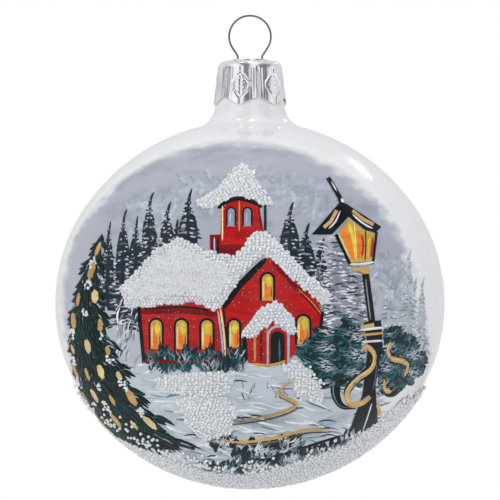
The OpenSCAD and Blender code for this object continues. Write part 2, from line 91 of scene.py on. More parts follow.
@dataclass(frozen=True)
class Globe:
    """The ball's outer face: an oval of arcs turned about Z, in the row frame.

    Args:
        radius: Radius at the middle.
        squash: Height that each pole lacks against a true sphere.
        centre_z: Height of the ball's middle.
    """

    LIMB = 0.06

    radius: float
    squash: float
    centre_z: float

    @property
    def side_x(self) -> float:
        """Distance of the side arc's centre from the axis."""
        return 2.0 * self.squash

    @property
    def polar_z(self) -> float:
        """Distance of the polar arc's centre below the middle."""
        return 1.5 * self.squash

    @property
    def side_r(self) -> float:
        """Radius of the side arc."""
        return self.radius - self.side_x

    @property
    def polar_r(self) -> float:
        """Radius of the polar arc."""
        return self.side_r + 2.5 * self.squash

    def girth(self, z: float) -> float:
        """Give the ball's radius at a height.

        Args:
            z: Height above the ball's middle.

        Returns:
            The radius there, 0 past a pole.
        """
        if abs(z) <= 0.6 * self.side_r:
            return self.side_x + math.sqrt(self.side_r**2 - z * z)
        return math.sqrt(max(0.0, self.polar_r**2 - (abs(z) + self.polar_z) ** 2))

    def outward(self, p: Vector) -> Vector:
        """Give the direction square to the ball's face at a point on it.

        Args:
            p: A point in the row frame.

        Returns:
            The outward unit vector.
        """
        z = p.z - self.centre_z
        flat = Vector((p.x, p.y, 0.0))
        if abs(z) <= 0.6 * self.side_r:
            centre = flat.normalized() * self.side_x if flat.length else flat
            return (flat - centre + Vector((0.0, 0.0, z))).normalized()
        return (flat + Vector((0.0, 0.0, z + math.copysign(self.polar_z, z)))).normalized()

    def facing(self, spot: Spot) -> float:
        """Tell how far the ball's face at a spot is turned to the front, so that strokes keep their size.

        Args:
            spot: Across and up from the ball's middle, in mm.

        Returns:
            1 in the middle, falling to about a quarter at the limb.
        """
        girth = self.girth(spot[1] * MM) / MM
        return math.sqrt(max(self.LIMB, 1.0 - (spot[0] / girth) ** 2)) if girth else 0.25

    def lay(self, spot: Spot, lift: float = 0.0, turn: float = 0.0) -> Vector:
        """Lay a spot of the picture on the ball.

        Args:
            spot: Across and up from the ball's middle, in mm, as seen from the turned side.
            lift: Height above the glass, in mm.
            turn: Angle of the side that the spot is laid from, in degrees.

        Returns:
            The point in the row frame.
        """
        z = spot[1] * MM
        girth = self.girth(z)
        x = max(-0.9995 * girth, min(0.9995 * girth, spot[0] * MM))
        p = Matrix.Rotation(math.radians(turn), 3, "Z") @ Vector((x, -math.sqrt(girth**2 - x * x), z))
        p.z += self.centre_z
        return p + self.outward(p) * lift * MM


def smooth_line(points: list[Spot], u: float) -> Spot:
    """Give a place on a smooth curve through points.

    Args:
        points: The points, two or more.
        u: Place along the curve, from 0 to 1.

    Returns:
        The spot there.
    """
    runs = len(points) - 1
    at = min(u * runs, runs - 1e-6)
    i = int(at)
    t = at - i
    p0, p1 = points[max(i - 1, 0)], points[i]
    p2, p3 = points[i + 1], points[min(i + 2, runs)]
    out = []
    for a, b, c, d in zip(p0, p1, p2, p3):
        bend = 2 * b + (c - a) * t + (2 * a - 5 * b + 4 * c - d) * t * t + (3 * b - a - 3 * c + d) * t**3
        out.append(0.5 * bend)
    return out[0], out[1]


# ---------------------------------------------------------------- materials


class Nodes:
    """Short ways to add and join shader nodes in one tree."""

    def __init__(self, tree: bpy.types.NodeTree) -> None:
        """Keep the tree that the nodes go in.

        Args:
            tree: The material's, world's or group's node tree.
        """
        self.tree = tree

    def add(self, kind: str, **values: object) -> bpy.types.Node:
        """Add a node and set its properties.

        Args:
            kind: The node's type name.
            values: Properties to set.

        Returns:
            The node.
        """
        node = self.tree.nodes.new(kind)
        for name, value in values.items():
            setattr(node, name, value)
        return node

    def join(self, a: bpy.types.NodeSocket, b: bpy.types.NodeSocket) -> None:
        """Link an output to an input."""
        self.tree.links.new(a, b)

    def math(self, op: str, a: object, b: object = 0.0) -> bpy.types.NodeSocket:
        """Add a math node.

        Args:
            op: The operation.
            a: First socket or number.
            b: Second socket or number.

        Returns:
            The result's socket.
        """
        node = self.add("ShaderNodeMath", operation=op)
        for i, value in enumerate((a, b)):
            if isinstance(value, bpy.types.NodeSocket):
                self.join(value, node.inputs[i])
            else:
                node.inputs[i].default_value = value
        return node.outputs[0]

    def ramp(self, value: bpy.types.NodeSocket, low: float, high: float) -> bpy.types.NodeSocket:
        """Map a value from low and high to 0 and 1, with a soft step.

        Args:
            value: The socket to read.
            low: The value that gives 0.
            high: The value that gives 1.

        Returns:
            The result's socket.
        """
        node = self.add("ShaderNodeMapRange", interpolation_type="SMOOTHSTEP")
        self.join(value, node.inputs["Value"])
        node.inputs["From Min"].default_value = low
        node.inputs["From Max"].default_value = high
        return node.outputs["Result"]

    def mix(self, share: object, a: object, b: object, blend: str = "MIX") -> bpy.types.NodeSocket:
        """Mix two colours.

        Args:
            share: Socket or number, 0 for a and 1 for b.
            a: First socket or colour.
            b: Second socket or colour.
            blend: How they are mixed.

        Returns:
            The colour's socket.
        """
        node = self.add("ShaderNodeMix", data_type="RGBA", blend_type=blend)
        for i, value in ((0, share), (6, a), (7, b)):
            if isinstance(value, bpy.types.NodeSocket):
                self.join(value, node.inputs[i])
            elif i == 0:
                node.inputs[i].default_value = value
            else:
                node.inputs[i].default_value = (*value, 1.0)
        return node.outputs[2]


def new_group(name: str, inputs: dict[str, float], outputs: dict[str, str]) -> bpy.types.NodeTree:
    """Start a shader node group.

    Args:
        name: The group's name.
        inputs: Number inputs with their values.
        outputs: Outputs with their kinds of socket.

    Returns:
        The group's tree.
    """
    tree = bpy.data.node_groups.new(name, "ShaderNodeTree")
    for key, value in inputs.items():
        socket = tree.interface.new_socket(key, in_out="INPUT", socket_type="NodeSocketFloat")
        socket.default_value = value
    for key, kind in outputs.items():
        tree.interface.new_socket(key, in_out="OUTPUT", socket_type=kind)
    return tree


@dataclass
class Effects:
    """The node groups that several finishes share."""

    globe: Globe
    bristle: bpy.types.NodeTree = field(init=False)
    roundness: bpy.types.NodeTree = field(init=False)

    def __post_init__(self) -> None:
        """Build the groups once."""
        self.bristle = self._bristle()
        self.roundness = self._roundness()

    def _bristle(self) -> bpy.types.NodeTree:
        """Build the streaks that a brush leaves: long in one direction, fine in the other."""
        tree = new_group(
            "brush_bristles",
            {"Scale": 900.0, "Stretch": 0.2},
            {"Streak": "NodeSocketFloat", "Cloud": "NodeSocketFloat"},
        )
        n = Nodes(tree)
        source = n.add("NodeGroupInput")
        sink = n.add("NodeGroupOutput")
        place = n.add("ShaderNodeTexCoord")
        squeeze = n.add("ShaderNodeCombineXYZ")
        n.join(source.outputs["Stretch"], squeeze.inputs[0])
        n.join(source.outputs["Stretch"], squeeze.inputs[1])
        squeeze.inputs[2].default_value = 1.0
        wide = n.add("ShaderNodeVectorMath", operation="MULTIPLY")
        n.join(place.outputs["Object"], wide.inputs[0])
        n.join(squeeze.outputs[0], wide.inputs[1])
        fine = n.add("ShaderNodeTexNoise")
        fine.inputs["Detail"].default_value = 3.0
        n.join(wide.outputs[0], fine.inputs["Vector"])
        n.join(source.outputs["Scale"], fine.inputs["Scale"])
        cloud = n.add("ShaderNodeTexNoise")
        cloud.inputs["Scale"].default_value = 110.0
        cloud.inputs["Detail"].default_value = 5.0
        n.join(place.outputs["Object"], cloud.inputs["Vector"])
        n.join(fine.outputs[0], sink.inputs["Streak"])
        n.join(cloud.outputs[0], sink.inputs["Cloud"])
        return tree

    def _roundness(self) -> bpy.types.NodeTree:
        """Build the ball's own smooth normal, for films whose facets would show in the gloss."""
        tree = new_group("ball_roundness", {}, {"Normal": "NodeSocketVector"})
        n = Nodes(tree)
        sink = n.add("NodeGroupOutput")
        place = n.add("ShaderNodeTexCoord")
        centre = n.add("ShaderNodeVectorMath", operation="SUBTRACT")
        centre.inputs[1].default_value = (0.0, 0.0, self.globe.centre_z)
        n.join(place.outputs["Object"], centre.inputs[0])
        swell = n.add("ShaderNodeVectorMath", operation="MULTIPLY")
        pole = self.globe.radius - self.globe.squash
        swell.inputs[1].default_value = (1.0, 1.0, (self.globe.radius / pole) ** 2)
        n.join(centre.outputs[0], swell.inputs[0])
        unit = n.add("ShaderNodeVectorMath", operation="NORMALIZE")
        n.join(swell.outputs[0], unit.inputs[0])
        n.join(unit.outputs[0], sink.inputs["Normal"])
        return tree


@dataclass(frozen=True)
class Finish:
    """A finish made of one Principled BSDF whose colour, roughness and bump come from nodes.

    Args:
        name: The material's name.
        colour: Main colour, where the piece has no colour of its own.
        second: Colour that the cloudy parts turn to.
        roughness: Middle roughness.
        metallic: 1 for a metal.
        coat: Weight of the clear coat.
        streak: How strongly the fine pattern shows in the colour.
        cloud: How far the cloudy parts turn to the second colour.
        bump: Height of the fine pattern, in metres.
        own_colour: Whether the colour comes from the piece's own paint attribute.
        on_ball: Whether the ball's smooth normal is used.
        scale: Fineness of the pattern.
        stretch: Share of the pattern's fineness along the ball's girth.
        glassy: Transmission weight.
        shine: Specular level.
    """

    name: str
    colour: Colour
    second: Colour
    roughness: float = 0.35
    metallic: float = 0.0
    coat: float = 0.3
    streak: float = 0.25
    cloud: float = 0.5
    bump: float = 0.00002
    own_colour: bool = False
    on_ball: bool = False
    scale: float = 900.0
    stretch: float = 0.25
    glassy: float = 0.0
    shine: float = 0.5

    def make(self, effects: Effects) -> bpy.types.Material:
        """Build the material.

        Args:
            effects: The shared node groups.

        Returns:
            The material.
        """
        material = bpy.data.materials.new(self.name)
        material.use_nodes = True
        n = Nodes(material.node_tree)
        shader = material.node_tree.nodes["Principled BSDF"]
        brush = n.add("ShaderNodeGroup", node_tree=effects.bristle)
        brush.inputs["Scale"].default_value = self.scale
        brush.inputs["Stretch"].default_value = self.stretch
        base: object = self.colour
        if self.own_colour:
            base = n.add("ShaderNodeAttribute", attribute_name=PAINT).outputs["Color"]
        clouds = n.math("MULTIPLY", n.ramp(brush.outputs["Cloud"], 0.35, 0.7), self.cloud)
        tint = n.mix(clouds, base, self.second)
        shade = n.ramp(brush.outputs["Streak"], 0.3, 0.7)
        dark = n.mix(1.0, tint, (1.0 - self.streak,) * 3, "MULTIPLY")
        n.join(n.mix(shade, dark, tint), shader.inputs["Base Color"])
        rough = n.math("MULTIPLY_ADD", brush.outputs["Streak"], 0.3)
        rough.node.inputs[2].default_value = self.roughness - 0.15
        n.join(rough, shader.inputs["Roughness"])
        shader.inputs["Metallic"].default_value = self.metallic
        shader.inputs["Coat Weight"].default_value = self.coat
        shader.inputs["Coat Roughness"].default_value = 0.08
        shader.inputs["Transmission Weight"].default_value = self.glassy
        shader.inputs["Specular IOR Level"].default_value = self.shine
        bump = n.add("ShaderNodeBump")
        bump.inputs["Strength"].default_value = 0.6
        bump.inputs["Distance"].default_value = self.bump
        n.join(brush.outputs["Streak"], bump.inputs["Height"])
        if self.on_ball:
            round_normal = n.add("ShaderNodeGroup", node_tree=effects.roundness)
            n.join(round_normal.outputs["Normal"], bump.inputs["Normal"])
        n.join(bump.outputs["Normal"], shader.inputs["Normal"])
        return material


@dataclass(frozen=True)
class GroundCoat:
    """The painted ground, which fades out over the white glass past a plane and inside an oval.

    Args:
        name: The material's name.
        light: Colour of the lighter strokes.
        dark: Colour of the darker strokes.
        haze: Colour near the horizon.
        slope: The plane's direction, x to the right, y to the front and z up.
        edge: Distance of the plane from the ball's middle, in radii.
        haze_at: Heights, in radii, where the haze starts and is full.
        oval: Half the width and height of the picture's oval, in radii.
        turn: Side that the oval is laid from, in degrees.
    """

    name: str
    light: Colour
    dark: Colour
    haze: Colour
    slope: tuple[float, float, float]
    edge: float
    haze_at: tuple[float, float]
    oval: tuple[float, float] = (0.95, 0.875)
    turn: float = -8.0

    def make(self, effects: Effects, white: Colour) -> bpy.types.Material:
        """Build the material.

        Args:
            effects: The shared node groups.
            white: Colour of the bare glass round the picture.

        Returns:
            The material.
        """
        material = bpy.data.materials.new(self.name)
        material.use_nodes = True
        n = Nodes(material.node_tree)
        shader = material.node_tree.nodes["Principled BSDF"]
        globe = effects.globe
        place = n.add("ShaderNodeTexCoord")
        unit = n.add("ShaderNodeVectorMath", operation="MULTIPLY_ADD")
        unit.inputs[1].default_value = (1.0 / globe.radius,) * 3
        unit.inputs[2].default_value = (0.0, 0.0, -globe.centre_z / globe.radius)
        n.join(place.outputs["Object"], unit.inputs[0])
        reach = n.add("ShaderNodeVectorMath", operation="DOT_PRODUCT")
        reach.inputs[1].default_value = (self.slope[0], -self.slope[1], self.slope[2])
        n.join(unit.outputs[0], reach.inputs[0])
        brush = n.add("ShaderNodeGroup", node_tree=effects.bristle)
        brush.inputs["Scale"].default_value = 420.0
        brush.inputs["Stretch"].default_value = 0.45
        ragged = n.math("MULTIPLY_ADD", brush.outputs["Streak"], 0.26)
        n.join(reach.outputs["Value"], ragged.node.inputs[2])
        turn = math.radians(self.turn)
        across = n.add("ShaderNodeVectorMath", operation="DOT_PRODUCT")
        across.inputs[1].default_value = (math.cos(turn) / self.oval[0], math.sin(turn) / self.oval[0], 0.0)
        n.join(unit.outputs[0], across.inputs[0])
        up = n.add("ShaderNodeVectorMath", operation="DOT_PRODUCT")
        up.inputs[1].default_value = (0.0, 0.0, 1.0 / self.oval[1])
        n.join(unit.outputs[0], up.inputs[0])
        round_sum = n.math("ADD", n.math("POWER", n.math("ABSOLUTE", across.outputs["Value"]), 2.0),
                           n.math("POWER", n.math("ABSOLUTE", up.outputs["Value"]), 2.0))
        frayed = n.math("MULTIPLY_ADD", brush.outputs["Streak"], 0.22)
        n.join(round_sum, frayed.node.inputs[2])
        border = n.ramp(frayed, 1.06, 0.94)
        inside = n.math("MULTIPLY", n.ramp(ragged, self.edge + 0.07, self.edge + 0.19), border)
        strokes = n.mix(n.ramp(brush.outputs["Streak"], 0.36, 0.66), self.dark, self.light)
        soft = n.mix(n.ramp(brush.outputs["Cloud"], 0.38, 0.62), strokes, self.light)
        split = n.add("ShaderNodeSeparateXYZ")
        n.join(unit.outputs[0], split.inputs[0])
        low = n.ramp(split.outputs[2], *self.haze_at)
        painted = n.mix(n.math("MULTIPLY", low, 0.75), soft, self.haze)
        n.join(n.mix(inside, white, painted), shader.inputs["Base Color"])
        rough = n.math("MULTIPLY_ADD", inside, 0.3)
        rough.node.inputs[2].default_value = 0.1
        n.join(rough, shader.inputs["Roughness"])
        shader.inputs["Coat Weight"].default_value = 0.5
        shader.inputs["Coat Roughness"].default_value = 0.05
        bump = n.add("ShaderNodeBump")
        bump.inputs["Strength"].default_value = 0.35
        bump.inputs["Distance"].default_value = 0.00003
        n.join(n.math("MULTIPLY", brush.outputs["Streak"], inside), bump.inputs["Height"])
        round_normal = n.add("ShaderNodeGroup", node_tree=effects.roundness)
        n.join(round_normal.outputs["Normal"], bump.inputs["Normal"])
        n.join(bump.outputs["Normal"], shader.inputs["Normal"])
        return material


class Paintbox:
    """Every finish on the object, made once and asked for by name."""

    WHITE: Colour = (0.83, 0.835, 0.84)

    def __init__(self, effects: Effects) -> None:
        """Make the finishes.

        Args:
            effects: The shared node groups.
        """
        red = dict(roughness=0.3, coat=0.15, streak=0.3, on_ball=True, shine=0.2)
        finishes = [
            Finish("white_glass", self.WHITE, (0.8, 0.805, 0.815), 0.2, coat=1.0, streak=0.015, cloud=0.4,
                   bump=0.0),
            Finish("lacquer", (0.8, 0.8, 0.8), (0.7, 0.7, 0.72), 0.5, streak=0.1),
            Finish("red_enamel", (0.56, 0.008, 0.01), (0.4, 0.004, 0.006), cloud=0.6, **red),
            Finish("dark_red_enamel", (0.2, 0.004, 0.006), (0.3, 0.006, 0.008), cloud=0.6, **red),
            Finish("black_enamel", (0.006, 0.009, 0.01), (0.012, 0.02, 0.022), 0.3, coat=0.1, streak=0.4,
                   on_ball=True, shine=0.15),
            Finish("window_glow", (0.62, 0.42, 0.07), (0.9, 0.24, 0.06), 0.3, coat=0.15, cloud=0.3,
                   on_ball=True),
            Finish("belfry_pane", (0.25, 0.29, 0.36), (0.4, 0.43, 0.5), 0.3, coat=0.15, cloud=0.6,
                   on_ball=True),
            Finish("gold_paint", (0.7, 0.42, 0.15), (0.85, 0.6, 0.28), 0.4, 0.25, 0.4, 0.3, 0.7, 0.00004,
                   on_ball=True),
            Finish("brushwork", (0.5,) * 3, (0.4,) * 3, 0.42, coat=0.05, streak=0.22, cloud=0.0,
                   own_colour=True, shine=0.18),
            Finish("gold_relief", (0.5,) * 3, (0.9, 0.62, 0.3), 0.4, 0.3, 0.4, 0.25, 0.35, 0.00004,
                   own_colour=True),
            Finish("glass_beads", (0.9,) * 3, (0.97, 0.98, 1.0), 0.22, coat=0.6, streak=0.03, cloud=0.3,
                   bump=0.0, own_colour=True, glassy=0.12),
            Finish("snow_paste", (0.7, 0.74, 0.79), (0.86, 0.88, 0.92), 0.5, streak=0.08, own_colour=True),
            Finish("glitter", (0.8,) * 3, (0.9, 0.93, 1.0), 0.25, 0.35, 0.6, 0.05, 0.2, 0.0, own_colour=True),
            Finish("cap_sheet", (0.93, 0.93, 0.94), (0.8, 0.8, 0.82), 0.22, 1.0, 0.0, 0.06, 0.4, 0.000012,
                   scale=500.0, stretch=1.3),
            Finish("wire", (0.3, 0.3, 0.31), (0.2, 0.2, 0.21), 0.35, 1.0, 0.0, 0.3, 0.5, scale=2500.0),
        ]
        self.finishes = {f.name: f.make(effects) for f in finishes}
        sky = GroundCoat("sky_coat", (0.4, 0.42, 0.49), (0.3, 0.325, 0.39), (0.47, 0.5, 0.56),
                         (-0.136, 1.0, -0.35), 0.2, (0.35, -0.1))
        field_coat = GroundCoat("snowfield", (0.55, 0.61, 0.66), (0.17, 0.25, 0.29), (0.52, 0.57, 0.62),
                                (-0.1, 1.0, 0.1), 0.2, (-0.75, -0.28))
        for coat in (sky, field_coat):
            self.finishes[coat.name] = coat.make(effects, self.WHITE)

    def __getitem__(self, name: str) -> bpy.types.Material:
        """Give a finish by name."""
        return self.finishes[name]


# ---------------------------------------------------------------- brushes and stamps


def to_object(
    name: str, mesh: bpy.types.Mesh, material: bpy.types.Material, smooth: bool = True
) -> bpy.types.Object:
    """Put a mesh in the scene as a finished object.

    Args:
        name: The piece's name.
        mesh: Its mesh.
        material: Its finish.
        smooth: Whether its faces are shaded smooth.

    Returns:
        The object.
    """
    mesh.name = name
    mesh.materials.clear()
    mesh.materials.append(material)
    mesh.polygons.foreach_set("use_smooth", [smooth] * len(mesh.polygons))
    obj = bpy.data.objects.new(name, mesh)
    bpy.context.scene.collection.objects.link(obj)
    return obj


class Canvas:
    """One painted piece: its strokes are gathered in one mesh, each in its own colour."""

    ACROSS = (-1.0, -0.6, 0.0, 0.6, 1.0)

    def __init__(self, globe: Globe, lift: float, seed: int, turn: float = 0.0, base: float = 0.0) -> None:
        """Start an empty piece.

        Args:
            globe: The ball it is painted on.
            lift: Height of its strokes above the glass, in mm.
            seed: Seed of its random draws.
            turn: Side that it is painted from, in degrees.
            base: Height of the paint below, where the strokes' edges go under, in mm.
        """
        self.globe = globe
        self.lift = lift
        self.turn = turn
        self.base = base
        self.draw = random.Random(seed)
        self.mesh = bmesh.new()
        self.mesh.verts.layers.float_color.new(PAINT)
        self.scrap = bpy.data.meshes.new("scrap")

    def _tint(self, colour: Colour, spread: float) -> tuple[float, float, float, float]:
        """Vary a colour a little, as each loaded brush does."""
        k = 1.0 + self.draw.uniform(-spread, spread)
        return (*(min(1.0, max(0.0, c * k)) for c in colour), 1.0)

    def stroke(
        self, line: list[Spot], width: float, colour: Colour, tip: Tip = Tip.ROUND,
        lift: float = 0.0, spread: float = 0.12,
    ) -> None:
        """Lay one brush stroke.

        Args:
            line: Points that it runs smoothly through, in mm on the picture.
            width: Its full width, in mm.
            colour: Its colour.
            tip: How its width runs.
            lift: Height above the piece's other strokes, in mm.
            spread: How much its colour may vary.
        """
        length = sum(math.dist(a, b) for a, b in zip(line, line[1:]))
        steps = max(3, min(28, round(length / 0.7)))
        grid = bmesh.new()
        paint = grid.verts.layers.float_color.new(PAINT)
        bmesh.ops.create_grid(grid, x_segments=steps, y_segments=len(self.ACROSS) - 1, size=1.0)
        tint = self._tint(colour, spread)
        high = self.lift + lift + self.draw.uniform(0.0, 0.012)
        for vert in grid.verts:
            u = (vert.co.x + 1.0) / 2.0
            side = self.ACROSS[round((vert.co.y + 1.0) * (len(self.ACROSS) - 1) / 2)]
            x, z = smooth_line(line, u)
            ahead, behind = smooth_line(line, min(1.0, u + 0.02)), smooth_line(line, max(0.0, u - 0.02))
            run = Vector((ahead[0] - behind[0], ahead[1] - behind[1]))
            run = run.normalized() if run.length else Vector((1.0, 0.0))
            reach = side * width / 2.0 * tip.share(u)
            turned = self.globe.facing((x, z))
            edge = abs(side) == 1.0
            up = self.base - 0.02 if edge else high + 0.02 * (1.0 - side * side)
            vert.co = self.globe.lay((x - run.y * reach * turned, z + run.x * reach), up, self.turn)
            vert[paint] = tint
        self._take(grid)

    def dab(
        self, spot: Spot, length: float, width: float, angle: float, colour: Colour,
        tip: Tip = Tip.ROUND, bend: float = 0.0, lift: float = 0.0,
    ) -> None:
        """Lay one short stroke that starts at a spot.

        Args:
            spot: Where it starts, in mm.
            length: Its length, in mm.
            width: Its full width, in mm.
            angle: Its direction, in degrees from the right.
            colour: Its colour.
            tip: How its width runs.
            bend: How far its middle bows to the left, as a share of its length.
            lift: Height above the piece's other strokes, in mm.
        """
        a = math.radians(angle)
        along = (math.cos(a) * length * self.globe.facing(spot), math.sin(a) * length)
        middle = (spot[0] + along[0] / 2 - along[1] * bend, spot[1] + along[1] / 2 + along[0] * bend)
        self.stroke([spot, middle, (spot[0] + along[0], spot[1] + along[1])], width, colour, tip, lift)

    def _take(self, grid: bmesh.types.BMesh) -> None:
        """Turn a small mesh's faces outwards and add it to the piece."""
        for face in grid.faces:
            face.normal_update()
            if face.normal.dot(self.globe.outward(face.calc_center_median())) < 0.0:
                face.normal_flip()
        grid.to_mesh(self.scrap)
        grid.free()
        self.mesh.from_mesh(self.scrap)

    def piece(self, name: str, material: bpy.types.Material, body: str = "ball") -> bpy.types.Object:
        """Finish the piece.

        Args:
            name: Its name.
            material: Its finish.
            body: The CAD body that it rides on.

        Returns:
            The object.
        """
        mesh = bpy.data.meshes.new(name)
        self.mesh.to_mesh(mesh)
        self.mesh.free()
        bpy.data.meshes.remove(self.scrap)
        obj = to_object(name, mesh, material)
        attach(obj, body)
        log.info("%s: %d faces", name, len(mesh.polygons))
        return obj


class Region:
    """The part of the ball that a CAD film covers."""

    ROW_GAP = 0.87
    RAY_FROM = 0.002
    RAY_LENGTH = 0.0026

    def __init__(self, globe: Globe, *nodes: str) -> None:
        """Read the films' meshes.

        Args:
            globe: The ball.
            nodes: Names of the CAD nodes.
        """
        self.globe = globe
        self.trees = []
        self.low = Vector((1.0, 1.0, 1.0))
        self.high = -self.low
        for name in nodes:
            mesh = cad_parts[name].data
            verts = [v.co.copy() for v in mesh.vertices]
            self.trees.append(BVHTree.FromPolygons(verts, [tuple(p.vertices) for p in mesh.polygons]))
            for v in verts:
                for k in range(3):
                    self.low[k] = min(self.low[k], v[k])
                    self.high[k] = max(self.high[k], v[k])

    def holds(self, p: Vector) -> bool:
        """Tell whether a point of the ball's face lies under the films.

        Args:
            p: The point, in the row frame.

        Returns:
            True if it does.
        """
        out = self.globe.outward(p)
        return any(tree.ray_cast(p + out * self.RAY_FROM, -out, self.RAY_LENGTH)[0] is not None
                   for tree in self.trees)

    def packed(self, gap: float, draw: random.Random, loose: float = 0.16) -> list[Vector]:
        """Give points on the ball, close packed in rows round it, that the films cover.

        Args:
            gap: Distance between neighbours, in metres.
            draw: Source of random numbers.
            loose: How far a point may stray, as a share of the gap.

        Returns:
            The points, in the row frame.
        """
        points = []
        globe = self.globe
        pole = globe.radius - globe.squash
        rows = int(math.pi * globe.radius / (gap * self.ROW_GAP))
        for row in range(1, rows):
            angle = -math.pi / 2 + math.pi * row / rows
            z = pole * math.sin(angle)
            if not self.low.z - gap < z + globe.centre_z < self.high.z + gap:
                continue
            girth = globe.girth(z)
            count = max(1, int(2 * math.pi * girth / gap))
            for k in range(count):
                way = 2 * math.pi * (k + 0.5 * (row % 2)) / count
                stray = gap * loose
                p = Vector((girth * math.cos(way), girth * math.sin(way), z + globe.centre_z))
                if any(not self.low[i] - gap < p[i] < self.high[i] + gap for i in (0, 1)):
                    continue
                p += Vector([draw.uniform(-stray, stray) for _ in range(3)])
                height = max(-pole, min(pole, p.z - globe.centre_z))
                flat = Vector((p.x, p.y, 0.0)).normalized() * globe.girth(height)
                p = Vector((flat.x, flat.y, height + globe.centre_z))
                if self.holds(p):
                    points.append(p)
        return points

    def depth(self, p: Vector, step: float = 1.1 * MM) -> float:
        """Tell how far inside the films a point lies.

        Args:
            p: The point, in the row frame.
            step: How far out its surroundings are looked at.

        Returns:
            The share of eight points round it that the films cover.
        """
        out = self.globe.outward(p)
        side = out.cross(Vector((0.0, 0.0, 1.0))).normalized() * step
        rise = side.cross(out).normalized() * step
        ways = [side * math.cos(k * math.pi / 4) + rise * math.sin(k * math.pi / 4) for k in range(8)]
        return sum(self.holds(p + way) for way in ways) / len(ways)

    def spots(self, gap_mm: float, draw: random.Random) -> list[Spot]:
        """Give spots of the picture, as seen from the front, that the films cover.

        Args:
            gap_mm: Distance between neighbours, in mm.
            draw: Source of random numbers.

        Returns:
            The spots, from the top down.
        """
        found = []
        for p in self.packed(gap_mm * MM, draw, 0.35):
            if p.y < 0.0:
                found.append((p.x / MM, (p.z - self.globe.centre_z) / MM))
        return sorted(found, key=lambda s: -s[1])


@dataclass
class Stamps:
    """Small shapes, made once and set many times on the ball."""

    globe: Globe
    bead: bpy.types.Mesh = field(init=False)
    flake: bpy.types.Mesh = field(init=False)

    def __post_init__(self) -> None:
        """Make the bead and the flake at unit size."""
        ball = bmesh.new()
        ball.verts.layers.float_color.new(PAINT)
        bmesh.ops.create_uvsphere(ball, u_segments=8, v_segments=5, radius=0.5)
        self.bead = bpy.data.meshes.new("bead")
        ball.to_mesh(self.bead)
        ball.free()
        disc = bmesh.new()
        disc.verts.layers.float_color.new(PAINT)
        bmesh.ops.create_circle(disc, cap_ends=True, segments=6, radius=0.5)
        grown = bmesh.ops.extrude_face_region(disc, geom=disc.faces[:])
        raised = [e for e in grown["geom"] if isinstance(e, bmesh.types.BMVert)]
        bmesh.ops.translate(disc, vec=(0.0, 0.0, 0.12), verts=raised)
        bmesh.ops.recalc_face_normals(disc, faces=disc.faces[:])
        self.flake = bpy.data.meshes.new("flake")
        disc.to_mesh(self.flake)
        disc.free()

    def set(
        self, name: str, shape: bpy.types.Mesh, marks: list[tuple[Matrix, Colour]],
        material: bpy.types.Material,
    ) -> bpy.types.Object:
        """Set a shape at many places as one piece.

        Args:
            name: The piece's name.
            shape: The bead or the flake.
            marks: A place and a colour for each.
            material: The finish.

        Returns:
            The object.
        """
        whole = bmesh.new()
        whole.verts.layers.float_color.new(PAINT)
        count = len(shape.vertices)
        for place, colour in marks:
            copy = shape.copy()
            copy.transform(place)
            copy.attributes[PAINT].data.foreach_set("color", [*colour, 1.0] * count)
            whole.from_mesh(copy)
            bpy.data.meshes.remove(copy)
        mesh = bpy.data.meshes.new(name)
        whole.to_mesh(mesh)
        whole.free()
        obj = to_object(name, mesh, material)
        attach(obj, "ball")
        log.info("%s: %d set, %d faces", name, len(marks), len(mesh.polygons))
        return obj

    def frame_at(self, p: Vector, height: float, size: float, lean: float, draw: random.Random) -> Matrix:
        """Give the place of a shape that sits on the ball.

        Args:
            p: Point on the ball's face.
            height: Height of the shape's middle above it.
            size: Its width.
            lean: How far it may lean from the ball's own direction.
            draw: Source of random numbers.

        Returns:
            The place as a matrix.
        """
        out = self.globe.outward(p)
        aim = (out + Vector([draw.uniform(-lean, lean) for _ in range(3)])).normalized()
        turn = aim.to_track_quat("Z", "Y").to_matrix().to_4x4()
        return Matrix.Translation(p + out * height) @ turn @ Matrix.Scale(size, 4)

    def bead_bed(self, name: str, node: str, size: float, material: bpy.types.Material, seed: int,
                 soft: float = 1.1 * MM) -> bpy.types.Object:
        """Fill a CAD film with glass beads and let them stand for it.

        Args:
            name: The piece's name.
            node: The CAD node.
            size: A bead's width.
            material: The beads' finish.
            seed: Seed of the random draws.
            soft: How far in from its edge the bed is thinned out.

        Returns:
            The object.
        """
        draw = random.Random(seed)
        marks = []
        region = Region(self.globe, node)
        for p in region.packed(size * 0.98, draw, 0.2):
            if draw.random() > 0.3 + region.depth(p, soft) * 0.68:
                continue
            width = size * draw.uniform(0.72, 1.06)
            grey = draw.uniform(0.88, 1.0)
            colour = (grey, min(1.0, grey * 1.015), min(1.0, grey * 1.03))
            marks.append((self.frame_at(p, width * 0.3 + 0.12 * MM, width, 0.0, draw), colour))
        obj = self.set(name, self.bead, marks, material)
        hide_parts(node)
        return obj

    def sprinkle(self, name: str, points: list[Vector], colours: list[Colour], size: float, height: float,
                 material: bpy.types.Material, seed: int) -> bpy.types.Object:
        """Sprinkle glitter flakes at points.

        Args:
            name: The piece's name.
            points: Points on the ball's face.
            colours: Colours to pick from.
            size: A flake's width.
            height: Height above the glass.
            material: The flakes' finish.
            seed: Seed of the random draws.

        Returns:
            The object.
        """
        draw = random.Random(seed)
        marks = [
            (
                self.frame_at(p, height * draw.uniform(0.9, 1.05), size * draw.uniform(0.6, 1.1), 0.7, draw),
                draw.choice(colours),
            )
            for p in points
        ]
        return self.set(name, self.flake, marks, material)


def tone(red: int, green: int, blue: int) -> Colour:
    """Turn a colour's display values into linear light.

    Args:
        red: From 0 to 255.
        green: From 0 to 255.
        blue: From 0 to 255.

    Returns:
        The colour, in linear light.
    """
    return tuple(((c / 255 + 0.055) / 1.055) ** 2.4 for c in (red, green, blue))


